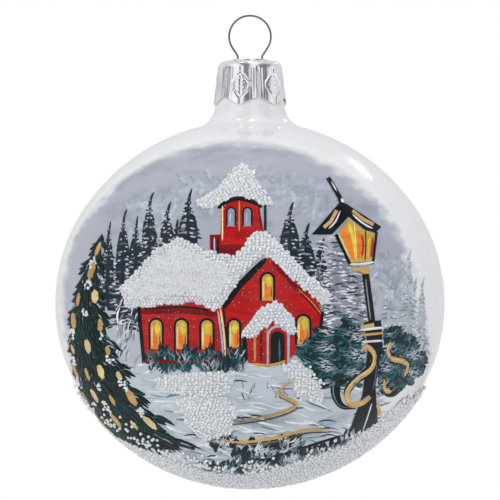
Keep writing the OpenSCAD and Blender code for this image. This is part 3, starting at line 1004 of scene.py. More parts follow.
class Pots:
    """The painter's pots of colour."""

    BLACK = tone(14, 18, 20)
    BLUE_BLACK = tone(34, 44, 54)
    SLATE = tone(92, 102, 116)
    LILAC_GREY = tone(150, 154, 168)
    PALE_LILAC = tone(214, 216, 226)
    SNOW = tone(240, 242, 246)
    MIST = tone(190, 200, 208)
    SKY_MIST = tone(176, 181, 193)
    PALE_MIST = tone(190, 196, 206)
    STEEL_BLUE = tone(110, 138, 150)
    TEAL = tone(44, 96, 98)
    DULL_BLUE = tone(78, 104, 116)
    DEEP_TEAL = tone(12, 46, 50)
    FIR_GREEN = tone(4, 74, 58)
    FIR_BLACK = tone(3, 24, 24)
    RED = tone(204, 24, 22)
    WINE = tone(122, 12, 14)
    ORANGE = tone(250, 128, 40)
    YELLOW = tone(236, 206, 66)
    CREAM = tone(255, 226, 160)
    GOLD = tone(206, 162, 88)
    PALE_GOLD = tone(240, 212, 150)
    SKY_BLUE = tone(170, 204, 222)


@dataclass
class Glassware:
    """The blown ball with its open neck.

    Args:
        globe: The ball's outer face.
        paints: The finishes.
        wall: Thickness of the glass.
        flare_r: Radius of the flare between the ball and the neck.
        base_r: Radius of the neck above the flare.
        rim_r: Radius of the neck's rim.
        neck_h: Height of the neck above the flare.
        steps: Faces round the ball.
    """

    globe: Globe
    paints: Paintbox
    wall: float = 0.9 * MM
    flare_r: float = 4.5 * MM
    base_r: float = 7.2 * MM
    rim_r: float = 6.3 * MM
    neck_h: float = 7.5 * MM
    steps: int = 192

    def flare(self, more: float) -> list[Spot]:
        """Give the flare's profile from the ball up to the neck.

        Args:
            more: How much is added to its radius, for the inner face.

        Returns:
            The profile's points, from the ball's middle.
        """
        globe = self.globe
        centre_x = self.base_r + self.flare_r
        centre_z = math.sqrt((globe.polar_r + self.flare_r) ** 2 - centre_x**2) - globe.polar_z
        start = math.pi + math.atan2(centre_z + globe.polar_z, centre_x)
        r = self.flare_r + more
        points = []
        for i in range(13):
            a = start + (math.pi - start) * i / 12
            points.append((centre_x + r * math.cos(a), centre_z + r * math.sin(a)))
        return points

    def profile(self) -> list[Spot]:
        """Give the wall's whole profile, from the outer pole up, over the rim and down inside."""
        globe = self.globe
        pole = globe.radius - globe.squash
        outer_flare, inner_flare = self.flare(0.0), self.flare(self.wall)
        rim_z = outer_flare[-1][1] + self.neck_h
        outer = []
        for i in range(97):
            z = pole * math.sin(math.pi * (i / 96 - 0.5))
            if z < outer_flare[0][1]:
                outer.append((globe.girth(z), z))
        inner = []
        for x, z in outer[1:]:
            p = Vector((x, 0.0, z + globe.centre_z))
            p -= globe.outward(p) * self.wall
            inner.append((p.x, p.z - globe.centre_z))
        inner.insert(0, (0.0, -pole + self.wall))
        inner_rim = self.rim_r - self.wall
        lip = [(self.rim_r, rim_z), (self.rim_r - self.wall / 2, rim_z + 0.2 * MM), (inner_rim, rim_z)]
        return outer + outer_flare + lip + inner_flare[::-1] + inner[::-1]

    def build(self) -> None:
        """Spin the profile into the blown ball, in its white glass finish."""
        bm = bmesh.new()
        verts = [bm.verts.new((x, 0.0, z + self.globe.centre_z)) for x, z in self.profile()]
        edges = [bm.edges.new(pair) for pair in zip(verts, verts[1:])]
        bmesh.ops.spin(bm, geom=verts + edges, cent=(0, 0, 0), axis=(0, 0, 1), angle=2 * math.pi,
                       steps=self.steps, use_merge=True)
        bmesh.ops.remove_doubles(bm, verts=bm.verts[:], dist=1e-6)
        bmesh.ops.recalc_face_normals(bm, faces=bm.faces[:])
        mesh = bpy.data.meshes.new("blown_ball")
        bm.to_mesh(mesh)
        bm.free()
        ball = to_object("blown_ball", mesh, self.paints["white_glass"])
        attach(ball, "ball")
        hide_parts("glass_ball")
        log.info("blown_ball: %d faces", len(mesh.polygons))


@dataclass
class CrownCap:
    """The pressed sheet cap: a raised disc, a rolled shoulder and six pointed petals.

    Args:
        globe: The ball; not used.
        paints: The finishes.
        sheet: Thickness of the metal.
        boss_r: Radius of the raised disc.
        round_r: Radius of the shoulder.
        hole_r: Radius of a wire hole.
        hole_x: Distance of a wire hole from the axis.
        point: Height of a petal's point.
        slit: Width of the slit between petals.
        first_slit: Angle of the first slit, in degrees from the front.
        steps: Faces round the cap.
    """

    globe: Globe
    paints: Paintbox
    sheet: float = 0.25 * MM
    boss_r: float = 3.6 * MM
    round_r: float = 1.7 * MM
    hole_r: float = 0.55 * MM
    hole_x: float = 2.5 * MM
    point: float = 1.6 * MM
    slit: float = 0.4 * MM
    first_slit: float = 14.0
    steps: int = 288

    def profile(self) -> list[Spot]:
        """Give the sheet's outer profile, from the middle of the roof down to the petals' points."""
        low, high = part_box("crown_cap")
        roof, base_r, foot = high.z, high.x, low.z
        top = roof - 0.35 * MM
        shoulder_r = base_r - 0.9 * MM
        line = [(self.boss_r * i / 12, roof) for i in range(13)]
        line += [(self.boss_r + 0.08 * MM, roof - 0.12 * MM), (self.boss_r + 0.1 * MM, top)]
        centre = (shoulder_r - self.round_r, top - self.round_r)
        for i in range(9):
            a = math.pi / 2 * (1 - i / 8)
            line.append((centre[0] + self.round_r * math.cos(a), centre[1] + self.round_r * math.sin(a)))
        for i in range(1, 41):
            t = i / 40
            x = shoulder_r + (base_r - 0.06 * MM - shoulder_r) * t
            line.append((x, centre[1] + (foot - centre[1]) * t))
        return line

    def petal(self, angle: float) -> tuple[float, float]:
        """Give the place in its petal of an angle.

        Args:
            angle: Degrees round the axis from the front.

        Returns:
            The petal's number, and the place across it from -1 to 1.
        """
        turn = (angle - self.first_slit) / 60.0
        number = math.floor(turn)
        return number % 6, 2.0 * (turn - number) - 1.0

    def relief(self, number: float, across: float, down: float) -> float:
        """Give how far the sheet stands out of round at a place on a petal.

        Args:
            number: The petal's number.
            across: From -1 to 1 across it.
            down: From 0 at the shoulder to 1 at the points.

        Returns:
            The distance, outwards.
        """
        out = -0.16 * MM * max(0.0, abs(across) - 0.72) / 0.28
        out += 0.05 * MM * math.cos(9 * math.pi * across) * max(0.0, abs(across) - 0.35)
        # A leaf with veins is pressed into the middle of each petal.
        leaf = abs(across) / 0.5 - math.sin(math.pi * min(1.0, max(0.0, (down - 0.12) / 0.7)))
        if abs(leaf) < 0.16:
            out -= 0.11 * MM
        if leaf < -0.16 and (abs(across) < 0.05 or (down * 9 + abs(across) * 4) % 1.0 < 0.26):
            out -= 0.08 * MM
        return out

    def build(self) -> None:
        """Spin the profile, shape the petals, cut the slits and holes, and thicken the sheet."""
        bm = bmesh.new()
        line = self.profile()
        foot, shoulder_z = line[-1][1], line[23][1]
        verts = [bm.verts.new((x, 0.0, z)) for x, z in line]
        edges = [bm.edges.new(pair) for pair in zip(verts, verts[1:])]
        bmesh.ops.spin(bm, geom=verts + edges, cent=(0, 0, 0), axis=(0, 0, 1), angle=2 * math.pi,
                       steps=self.steps, use_merge=True)
        bmesh.ops.remove_doubles(bm, verts=bm.verts[:], dist=1e-6)
        draw = random.Random(11)
        dents = [(draw.uniform(0, 360), draw.uniform(2, 6), draw.uniform(-1, 1)) for _ in range(14)]
        doomed = []
        for face in bm.faces:
            c = face.calc_center_median()
            angle = math.degrees(math.atan2(c.x, -c.y))
            radius = math.hypot(c.x, c.y)
            _, across = self.petal(angle)
            from_slit = (1.0 - abs(across)) * math.radians(30.0) * radius
            if c.z < shoulder_z - 1.2 * MM and from_slit < self.slit / 2:
                doomed.append(face)
            elif radius < self.boss_r and math.hypot(abs(c.x) - self.hole_x, c.y) < self.hole_r:
                doomed.append(face)
        bmesh.ops.delete(bm, geom=doomed, context="FACES")
        for vert in bm.verts:
            angle = math.degrees(math.atan2(vert.co.x, -vert.co.y))
            radius = math.hypot(vert.co.x, vert.co.y)
            number, across = self.petal(angle)
            if radius < self.boss_r:
                side = math.copysign(self.hole_x, vert.co.x)
                reach = math.hypot(vert.co.x - side, vert.co.y)
                if vert.is_boundary and reach > 0:
                    vert.co.x = side + (vert.co.x - side) * self.hole_r / reach
                    vert.co.y *= self.hole_r / reach
                continue
            out = Vector((vert.co.x, vert.co.y, 0.0)).normalized()
            if vert.co.z < shoulder_z:
                down = (shoulder_z - vert.co.z) / (shoulder_z - foot)
                out *= self.relief(number, across, down)
                notch = self.point * max(0.0, abs(across) - 0.12) / 0.88
                vert.co.z += notch * max(0.0, down - 0.45) / 0.55
            else:
                wave = sum(k * math.cos(math.radians((angle - a) * f)) for a, f, k in dents)
                out *= 0.018 * MM * wave
            vert.co += out
        bmesh.ops.recalc_face_normals(bm, faces=bm.faces[:])
        bmesh.ops.solidify(bm, geom=bm.faces[:], thickness=self.sheet)
        bmesh.ops.recalc_face_normals(bm, faces=bm.faces[:])
        mesh = bpy.data.meshes.new("petal_cap")
        bm.to_mesh(mesh)
        bm.free()
        cap = to_object("petal_cap", mesh, self.paints["cap_sheet"])
        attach(cap, "cap")
        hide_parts("crown_cap")
        log.info("petal_cap: %d faces", len(mesh.polygons))


@dataclass
class Forest:
    """The firs behind the church.

    Args:
        globe: The ball.
        paints: The finishes.
    """

    globe: Globe
    paints: Paintbox

    def fir(self, canvas: Canvas, tip: Spot, height: float, reach: float, dark: Colour,
            mid: Colour, light: Colour, frost: float) -> None:
        """Paint one fir from the top down in drooping dabs.

        Args:
            canvas: The piece.
            tip: Its tip.
            height: Its height, in mm.
            reach: Half its width at the foot, in mm.
            dark: Colour of the shade.
            mid: Colour of the boughs.
            light: Colour of the snow on them.
            frost: Share of the boughs that carry snow.
        """
        draw = canvas.draw
        sway = draw.uniform(0.3, 0.8)
        leader = [
            (tip[0] + sway, tip[1] + 1.6), (tip[0] + 0.1, tip[1] - 1.0), (tip[0], tip[1] - height * 0.5)
        ]
        canvas.stroke(leader, 1.0, dark, Tip.LEAF)
        canvas.stroke([(tip[0], tip[1] - 2.5), (tip[0], tip[1] - height)], reach * 1.5, dark, Tip.LEAF)
        rows = int(height / 0.8)
        for row in range(rows):
            t = (row + 1) / rows
            z = tip[1] - height * t
            half = reach * t**0.8 * draw.uniform(0.8, 1.1)
            for side in (-1, 1):
                for share, lift, colour, width in ((1.0, 0.0, dark, 1.5), (0.85, 0.02, mid, 0.75)):
                    if share < 1.0 and draw.random() < 0.45:
                        continue
                    start = (tip[0] + side * draw.uniform(0.0, 0.25) * half, z + draw.uniform(0.2, 0.6))
                    out = 180 if side < 0 else 0
                    shade = Pots.LILAC_GREY if share < 1.0 and draw.random() < 0.3 else colour
                    canvas.dab(start, half * share, width, out - side * draw.uniform(2, 20), shade,
                               Tip.POINT, 0.1 * side, lift)
                if draw.random() < frost:
                    start = (tip[0] + side * draw.uniform(0.15, 0.6) * half, z + draw.uniform(0.3, 0.8))
                    canvas.dab(start, half * draw.uniform(0.25, 0.55), 0.5,
                               (180 if side < 0 else 0) - side * 12, light, Tip.LEAF, 0.0, 0.035)

    def build(self) -> None:
        """Paint the three groups of firs."""
        pots = Pots
        left = Canvas(self.globe, 0.13, 21)
        for tip, height, reach in (
            ((-28.2, 15.0), 16, 3.4), ((-22.6, 16.0), 20, 4.0), ((-14.6, 15.4), 12, 3.4),
            ((-25.2, 17.4), 22, 3.8), ((-16.4, 18.8), 16, 3.4), ((-19.9, 20.8), 22, 4.0),
            ((-12.2, 21.4), 15, 4.0),
        ):
            self.fir(left, tip, height, reach, pots.BLUE_BLACK, pots.SLATE, pots.PALE_LILAC, 0.65)
        piece = left.piece("painted_left_pines", self.paints["brushwork"])
        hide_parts("left_pines")
        right = Canvas(self.globe, 0.13, 22)
        for tip, height, reach in (
            ((13.8, 11.6), 13, 3.6), ((10.9, 14.6), 15, 4.2), ((7.8, 18.8), 16, 4.0),
        ):
            self.fir(right, tip, height, reach, pots.BLUE_BLACK, pots.SLATE, pots.PALE_LILAC, 0.5)
        piece = right.piece("painted_right_pines", self.paints["brushwork"])
        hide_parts("right_pines")
        pale = Canvas(self.globe, 0.13, 23)
        for tip, height, reach in (
            ((31.6, 9.6), 20, 4.0), ((27.6, 5.4), 14, 3.6), ((34.4, 4.0), 14, 3.2), ((13.4, 7.6), 13, 3.4),
            ((21.4, 9.0), 15, 4.2), ((17.2, 13.4), 19, 5.6),
        ):
            front = tip[0] < 24
            dark = pots.SLATE if front else pots.LILAC_GREY
            self.fir(pale, tip, height, reach, pots.LILAC_GREY if front else pots.MIST,
                     dark, pots.SNOW, 1.0 if front else 0.7)
        frosts = (pots.BLUE_BLACK, pots.SLATE, pots.SNOW, pots.PALE_LILAC, pots.PALE_LILAC)
        for spot in Region(self.globe, "snowy_fir").spots(1.7, pale.draw):
            pale.dab(spot, pale.draw.uniform(1.4, 3.0), 0.5, pale.draw.uniform(-16, 10),
                     pale.draw.choice(frosts),
                     Tip.LEAF, 0.1, 0.045)
        piece = pale.piece("painted_snowy_firs", self.paints["brushwork"])
        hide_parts("snowy_fir")


@dataclass
class Church:
    """The red church: enamel walls with brushed trims and glowing windows.

    Args:
        globe: The ball.
        paints: The finishes.
    """

    globe: Globe
    paints: Paintbox
    windows: tuple[tuple[float, float, float, float], ...] = (
        (-18.4, -8.6, 2.6, 6.0), (-13.4, -8.6, 2.6, 6.0), (-8.4, -8.6, 2.6, 6.0),
        (-3.1, -8.2, 2.4, 5.6), (10.4, -7.6, 2.8, 5.8), (3.4, 1.0, 2.6, 5.4),
    )

    @staticmethod
    def arch(x: float, z: float, w: float, h: float) -> list[Spot]:
        """Give a line round an arched opening, from its left foot over to its right foot."""
        r = w / 2
        turns = [math.pi * i / 6 for i in range(7)]
        head = [(x - r * math.cos(a), z + h - r + r * math.sin(a)) for a in turns]
        return [(x - r, z), (x - r, z + (h - r) * 0.6), *head, (x + r, z + (h - r) * 0.6), (x + r, z)]

    def dress(self) -> None:
        """Give the carried walls and openings their enamels."""
        for material, nodes in {
            "red_enamel": ("nave_wall", "gable_wall", "belfry_wall", "porch_wall"),
            "dark_red_enamel": ("belfry_base",),
            "black_enamel": ("church_door", "church_outline"),
            "window_glow": ("nave_windows", "gable_windows"),
            "belfry_pane": ("belfry_windows",),
        }.items():
            for node in nodes:
                dress_node(node, self.paints[material])

    def build(self) -> None:
        """Dress the walls and paint the trims over them."""
        self.dress()
        pots = Pots
        trims = Canvas(self.globe, 0.3, 31, base=0.26)
        for x, z, w, h in self.windows:
            sway = trims.draw.uniform(-0.25, 0.25)
            trims.dab((x + 0.1 + sway, z + 0.4), h * 0.62, w * 0.5, 90 - 20 * sway, pots.ORANGE, Tip.LEAF)
            trims.dab((x + 0.2, z + h * 0.5), h * 0.4, w * 0.6, 90, pots.YELLOW, Tip.LEAF, 0.0, 0.01)
            trims.dab((x - w * 0.3, z + 0.5), h * 0.68, 0.42, 90, pots.CREAM, Tip.ROUND, 0.0, 0.02)
            trims.dab((x + w * 0.28, z + 0.6), h * 0.4, 0.3, 90, pots.RED, Tip.LEAF, 0.0, 0.02)
            trims.stroke(self.arch(x, z, w, h), 0.5, pots.BLACK, Tip.FLAT, 0.03)
        for x in (-3.7, -0.5):
            trims.stroke(self.arch(x, 15.6, 1.7, 3.6), 0.4, pots.BLACK, Tip.FLAT, 0.02)
            trims.dab((x - 0.2, 16.2), 2.2, 0.35, 88, pots.MIST, Tip.LEAF)
        lines = (
            ([(-5.4, 12.6), (-5.4, 19.8)], 0.35, pots.CREAM), ([(-2.1, 14.4), (-2.1, 20.6)], 0.35, pots.GOLD),
            ([(2.3, 14.6), (1.6, 20)], 0.4, pots.WINE),
            ([(-6.4, 19.0), (-4.6, 20.3), (-2.4, 21.0), (0.4, 20.4), (2.4, 19.2)], 1.0, pots.BLACK),
            ([(-7.0, 13.4), (-6.9, 9.6)], 0.35, pots.SKY_BLUE),
            ([(-6.3, 13.4), (-6.2, 9.6)], 0.4, pots.BLACK),
            ([(-21.4, -1.3), (-13, -0.9), (-6.2, -1.8)], 1.4, pots.WINE),
            ([(-21.0, -0.7), (-13, -0.3), (-8, -0.9)], 0.5, pots.BLACK),
            ([(-21.0, -10.9), (-13, -11.0), (-5.2, -10.3)], 0.8, pots.WINE),
            ([(-6.3, -0.8), (-5.6, -5.4), (-5.2, -10.0)], 0.4, pots.SKY_BLUE),
            ([(-5.8, -0.4), (-5.1, -5.4), (-4.8, -10.0)], 0.4, pots.CREAM),
            ([(-5.3, 0.4), (-4.6, -5.4), (-4.4, -10.0)], 0.45, pots.BLACK),
            ([(3.2, 9.2), (0.2, 6.2), (-2.6, 3.2), (-5.2, -0.6)], 1.3, pots.BLACK),
            ([(4.2, 8.6), (8.2, 4.4), (11.8, 0.8), (13.8, -1.8)], 0.9, pots.WINE),
            ([(9.2, 3.4), (12.0, 0.7), (13.9, -1.7)], 0.4, pots.GOLD),
            ([(-1.1, -5.8), (-0.9, -11.0)], 1.1, pots.BLACK), ([(0.9, -5.2), (1.0, -11.0)], 0.45, pots.GOLD),
            ([(3.4, -4.2), (3.5, -11.2)], 0.5, pots.GOLD), ([(2.1, -4.8), (2.2, -11.0)], 0.6, pots.WINE),
            ([(0.2, -11.4), (4.2, -11.6), (8.2, -10.4)], 0.6, pots.GOLD),
        )
        for line, width, colour in lines:
            trims.stroke(line, width, colour, Tip.ROUND, 0.01)
        trims.stroke(self.arch(5.5, -11.4, 4.0, 7.4), 0.5, pots.SKY_BLUE, Tip.FLAT, 0.02)
        trims.stroke(self.arch(5.4, -11.4, 3.2, 6.8), 0.45, pots.RED, Tip.FLAT, 0.03)
        trims.dab((5.8, -10.8), 4.4, 0.4, 91, pots.SLATE, Tip.LEAF, 0.0, 0.02)
        trims.piece("church_trims", self.paints["brushwork"])


@dataclass
class Shrubs:
    """The bushes and boughs round the church, in short furry strokes.

    Args:
        globe: The ball.
        paints: The finishes.
    """

    globe: Globe
    paints: Paintbox

    def fur(self, name: str, node: str, seed: int, shades: list[Colour], lights: list[Colour],
            lean: tuple[float, float], lift: float = 0.28) -> None:
        """Fill a CAD film with short strokes, dark first and light on top.

        Args:
            name: The piece's name.
            node: The CAD node.
            seed: Seed of the random draws.
            shades: Colours of the strokes below.
            lights: Colours of the strokes on top.
            lean: Least and greatest angle of a stroke, in degrees.
            lift: Height above the glass, in mm.
        """
        canvas = Canvas(self.globe, lift, seed)
        draw = canvas.draw
        region = Region(self.globe, node)
        def faces_front(spot: Spot) -> bool:
            """Tell whether a spot is kept: fewer are towards the ball's limb and the film's edge."""
            limb = abs(spot[0]) / (self.globe.girth(spot[1] * MM) / MM) < 0.9 + 0.07 * draw.random()
            return limb and draw.random() < 0.1 + 0.9 * region.depth(self.globe.lay(spot), 0.8 * MM)

        for spot in filter(faces_front, region.spots(0.9, draw)):
            canvas.dab(spot, draw.uniform(1.4, 2.4), 1.4, draw.uniform(*lean), draw.choice(shades),
                       Tip.LEAF, 0.1)
        for spot in filter(faces_front, region.spots(0.62, draw)):
            # Light gathers in soft clumps, and the hollows between them stay dark.
            clump = math.sin(spot[0] * 1.05 + seed) + math.sin(spot[1] * 1.7 + spot[0] * 0.45 + 2 * seed)
            if clump > -0.8 and draw.random() < 0.85:
                bright = max(0.0, clump + draw.uniform(-0.1, 0.9)) * 0.5
                pick = lights[min(len(lights) - 1, int(bright * len(lights)))]
                canvas.dab(spot, draw.uniform(0.9, 1.6), 0.5, draw.uniform(*lean), pick,
                           Tip.LEAF, draw.uniform(-0.15, 0.15), 0.04)
        piece = canvas.piece(name, self.paints["brushwork"])
        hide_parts(node)

    def build(self) -> None:
        """Paint the bushes."""
        pots = Pots
        shades = [pots.DEEP_TEAL, pots.DEEP_TEAL, pots.BLUE_BLACK, pots.BLUE_BLACK, pots.TEAL]
        lights = [pots.TEAL, pots.DULL_BLUE, pots.STEEL_BLUE, pots.STEEL_BLUE, pots.LILAC_GREY, pots.MIST]
        self.fur("painted_front_shrubs", "front_shrubs", 41, shades, lights, (40, 140))
        self.fur("painted_fir_boughs", "fir_boughs", 42, shades, lights, (150, 215))
        self.fur("painted_side_shrubs", "side_shrubs", 43, shades[1:], lights, (-20, 60))
        self.fur("painted_scrub", "foreground_scrub", 44, [pots.BLUE_BLACK, pots.DEEP_TEAL, pots.BLACK],
                 [pots.STEEL_BLUE, pots.MIST, pots.PALE_LILAC, pots.SNOW], (10, 120), 0.22)


@dataclass
class StreetLamp:
    """The lamp on its post, with gold ribbons round the foot.

    Args:
        globe: The ball.
        paints: The finishes.
    """

    globe: Globe
    paints: Paintbox

    def build(self) -> None:
        """Dress the carried parts and paint the lights and edgings over them."""
        for node, material in (
            ("lamp_post", "black_enamel"), ("lamp_roof", "black_enamel"), ("lamp_panes", "window_glow"),
            ("lamp_gilding", "gold_paint"),
        ):
            dress_node(node, self.paints[material])
        pots = Pots
        shade = Canvas(self.globe, 0.27, 50, base=0.2)
        scrolls = (
            [(21.9, -9), (23.2, -8.2), (24.6, -10), (23.9, -12.6), (20.9, -14.8), (19.2, -17.2),
             (19.9, -19.6), (22, -19.6), (24, -18.4)],
            [(27.9, -7.4), (27.2, -9), (28, -10.6), (30, -11.2), (31.5, -12.2), (30.7, -14.6)],
            [(26.7, -14.8), (26.8, -16.9), (28.2, -17.3)],
        )
        for line in scrolls:
            shade.stroke(line, 1.9, pots.BLACK, Tip.LEAF)
        for line in (
            [(20.6, -9.6), (19.6, -11.6), (17.4, -14.2), (16.9, -17.4), (18.2, -20.0), (21.0, -20.6)],
            [(31.2, -13.4), (30.4, -15.8), (28.6, -17.4), (26.6, -17.0), (25.8, -14.4)],
            [(20.2, -7.4), (20.4, -9.2), (22.2, -9.6)],
        ):
            shade.stroke(line, 2.3, pots.BLACK, Tip.LEAF, -0.01)
            shade.stroke([(x - 0.5, z + 0.2) for x, z in line], 0.5, pots.STEEL_BLUE, Tip.LEAF, 0.01)
        shade.piece("ribbon_shadows", self.paints["brushwork"])
        ribbons = Canvas(self.globe, 0.31, 52, base=0.2)
        for line in scrolls:
            ribbons.stroke(line, 1.5, pots.GOLD, Tip.ROUND)
        piece = ribbons.piece("gold_ribbons", self.paints["gold_relief"])
        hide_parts("lamp_scrolls")
        lights = Canvas(self.globe, 0.34, 51, base=0.3)
        for line in scrolls:
            lights.stroke([(x - 0.15, z + 0.15) for x, z in line], 0.4, pots.PALE_GOLD, Tip.LEAF, 0.01)
        for line, width, colour in (
            ([(18.2, 15.4), (19.4, 12.2), (20.4, 9.2)], 1.1, pots.ORANGE),
            ([(19.4, 16.2), (20.4, 12.6), (20.8, 9.0)], 0.8, pots.YELLOW),
            ([(21.2, 9.2), (21.6, 12.0), (21.3, 14.8)], 0.9, pots.ORANGE),
            ([(22.0, 9.4), (22.3, 12.0), (22.0, 13.8)], 0.5, pots.RED),
            ([(23.8, 9.4), (24.1, 11.4), (24.3, 13.6)], 0.6, pots.RED),
            ([(23.2, 9.2), (23.3, 11.4), (23.5, 13.4)], 0.4, pots.YELLOW),
            ([(17.3, 14.2), (18.4, 11.8), (19.6, 9.2)], 0.4, pots.CREAM),
            ([(20.5, 16.4), (20.8, 12.6), (20.9, 8.6)], 0.28, pots.CREAM),
            ([(22.8, 14.8), (22.8, 11.6), (22.6, 8.8)], 0.28, pots.BLACK),
            ([(17.8, 18.6), (16.8, 16.4), (15.4, 15.0)], 0.35, pots.SNOW),
            ([(20.2, 17.9), (22.2, 16.2), (24.2, 15.1)], 0.35, pots.SNOW),
            ([(19.4, 8.0), (22.0, 8.1), (24.6, 8.5)], 0.5, pots.SNOW),
            ([(16.1, 24.4), (17.2, 22.4)], 0.3, pots.SNOW), ([(18.0, 21.0), (18.5, 20.2)], 0.6, pots.SNOW),
            ([(21.6, 6.6), (23.9, 6.7)], 1.0, pots.GOLD),
            ([(22.7, 5.2), (23.2, 1.0), (23.7, -2.8)], 0.3, pots.LILAC_GREY),
            ([(21.2, -4.9), (26.3, -4.4)], 0.5, pots.SNOW), ([(21.4, -5.9), (26.4, -5.5)], 0.5, pots.GOLD),
            ([(21.8, -7.2), (26.4, -7.0)], 0.45, pots.SNOW),
            ([(24.2, -19.5), (23.4, -22.4), (22.5, -25.3)], 0.35, pots.SNOW),
            ([(24.8, -9.4), (24.9, -13.4), (24.2, -17.0)], 0.3, pots.SLATE),
        ):
            lights.stroke(line, width, colour, Tip.ROUND, 0.0)
        lights.piece("lamp_lights", self.paints["brushwork"])


@dataclass
class ChristmasTree:
    """The trimmed tree that goes round the ball's left side.

    Args:
        globe: The ball.
        paints: The finishes.
        turn: Side that it is painted from, in degrees.
        foot: Place of its tip on that side.
        height: Its height, in mm.
        reach: Half its width, in mm.
        tiers: Rows of boughs.
        lean: How far its foot stands to the left, in mm.
    """

    globe: Globe
    paints: Paintbox
    turn: float = -56.0
    foot: Spot = (2.4, 11.5)
    height: float = 40.0
    reach: float = 17.5
    tiers: int = 8
    lean: float = 5.0

    def trimmings(self, last: int, drop: float, more: float) -> list[tuple[Spot, int]]:
        """Give the places of the round trimmings, row by row, as the CAD model sets them.

        Args:
            last: The last row.
            drop: Place of a row below its tier.
            more: How many more stand in each next row.

        Returns:
            Each place, with its number in the pattern of sizes.
        """
        found = []
        for i in range(last + 1):
            count = 1 + math.floor(i * more)
            z = -self.height * (i + drop) / self.tiers
            reach = 0.72 * self.reach * (i + drop) / self.tiers
            for j in range(count):
                across = 0.0 if count == 1 else 2 * j / (count - 1) - 1
                x = self.foot[0] + across * reach + self.lean * z / self.height
                found.append(((x, self.foot[1] + z + 0.7 * ((j + i) % 2)), (i + j) % 2))
        return found

    def build(self) -> None:
        """Paint the boughs and the gold dabs."""
        pots = Pots
        boughs = Canvas(self.globe, 0.26, 61, self.turn)
        draw = boughs.draw
        rows = 46
        unders = (pots.FIR_BLACK, pots.FIR_BLACK, pots.DEEP_TEAL)
        overs = (pots.FIR_GREEN, pots.DEEP_TEAL, pots.FIR_GREEN, pots.FIR_BLACK)
        overs_at_edge = (pots.FIR_GREEN, pots.DEEP_TEAL, pots.TEAL, pots.MIST)
        for shade in (0, 1):
            for row in range(rows):
                t = (row + 0.6) / rows
                z = self.foot[1] + 2.0 - (self.height + 2.0) * t
                x = self.foot[0] - self.lean * t
                half = self.reach * t * (0.9 + 0.12 * math.sin(row * 1.15)) * draw.uniform(0.94, 1.06)
                count = max(2, int(half * (2.2 if shade == 0 else 2.6)))
                for k in range(count):
                    across = 2 * (k + draw.random()) / count - 1
                    start = (x + across * half * 0.86, z + draw.uniform(0.2, 1.2))
                    angle = -90 + across * 66 + draw.uniform(-16, 16)
                    if shade == 0:
                        boughs.dab(start, draw.uniform(2.0, 3.4), 1.3, angle, draw.choice(unders),
                                   Tip.LEAF, 0.1)
                    elif draw.random() < 0.5:
                        edge = abs(across) > 0.8
                        boughs.dab(start, draw.uniform(1.0, 2.2), 0.4, angle + draw.uniform(-20, 20),
                                   draw.choice(overs_at_edge if edge else overs), Tip.LEAF, 0.1, 0.04)
        piece = boughs.piece("painted_tree", self.paints["brushwork"])
        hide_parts("christmas_tree")
        gold = Canvas(self.globe, 0.4, 62, self.turn, base=0.3)
        for spot, big in self.trimmings(7, 0.1, 0.6):
            tall = gold.draw.uniform(1.9, 2.8) + 0.8 * big
            gold.dab((spot[0], spot[1] - tall / 2), tall, 1.5 + 0.7 * big, gold.draw.uniform(72, 108),
                     gold.draw.choice((pots.GOLD, pots.GOLD, pots.PALE_GOLD)), Tip.ROUND, 0.05)
        piece = gold.piece("gold_dabs", self.paints["gold_relief"])
        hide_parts("gold_baubles")


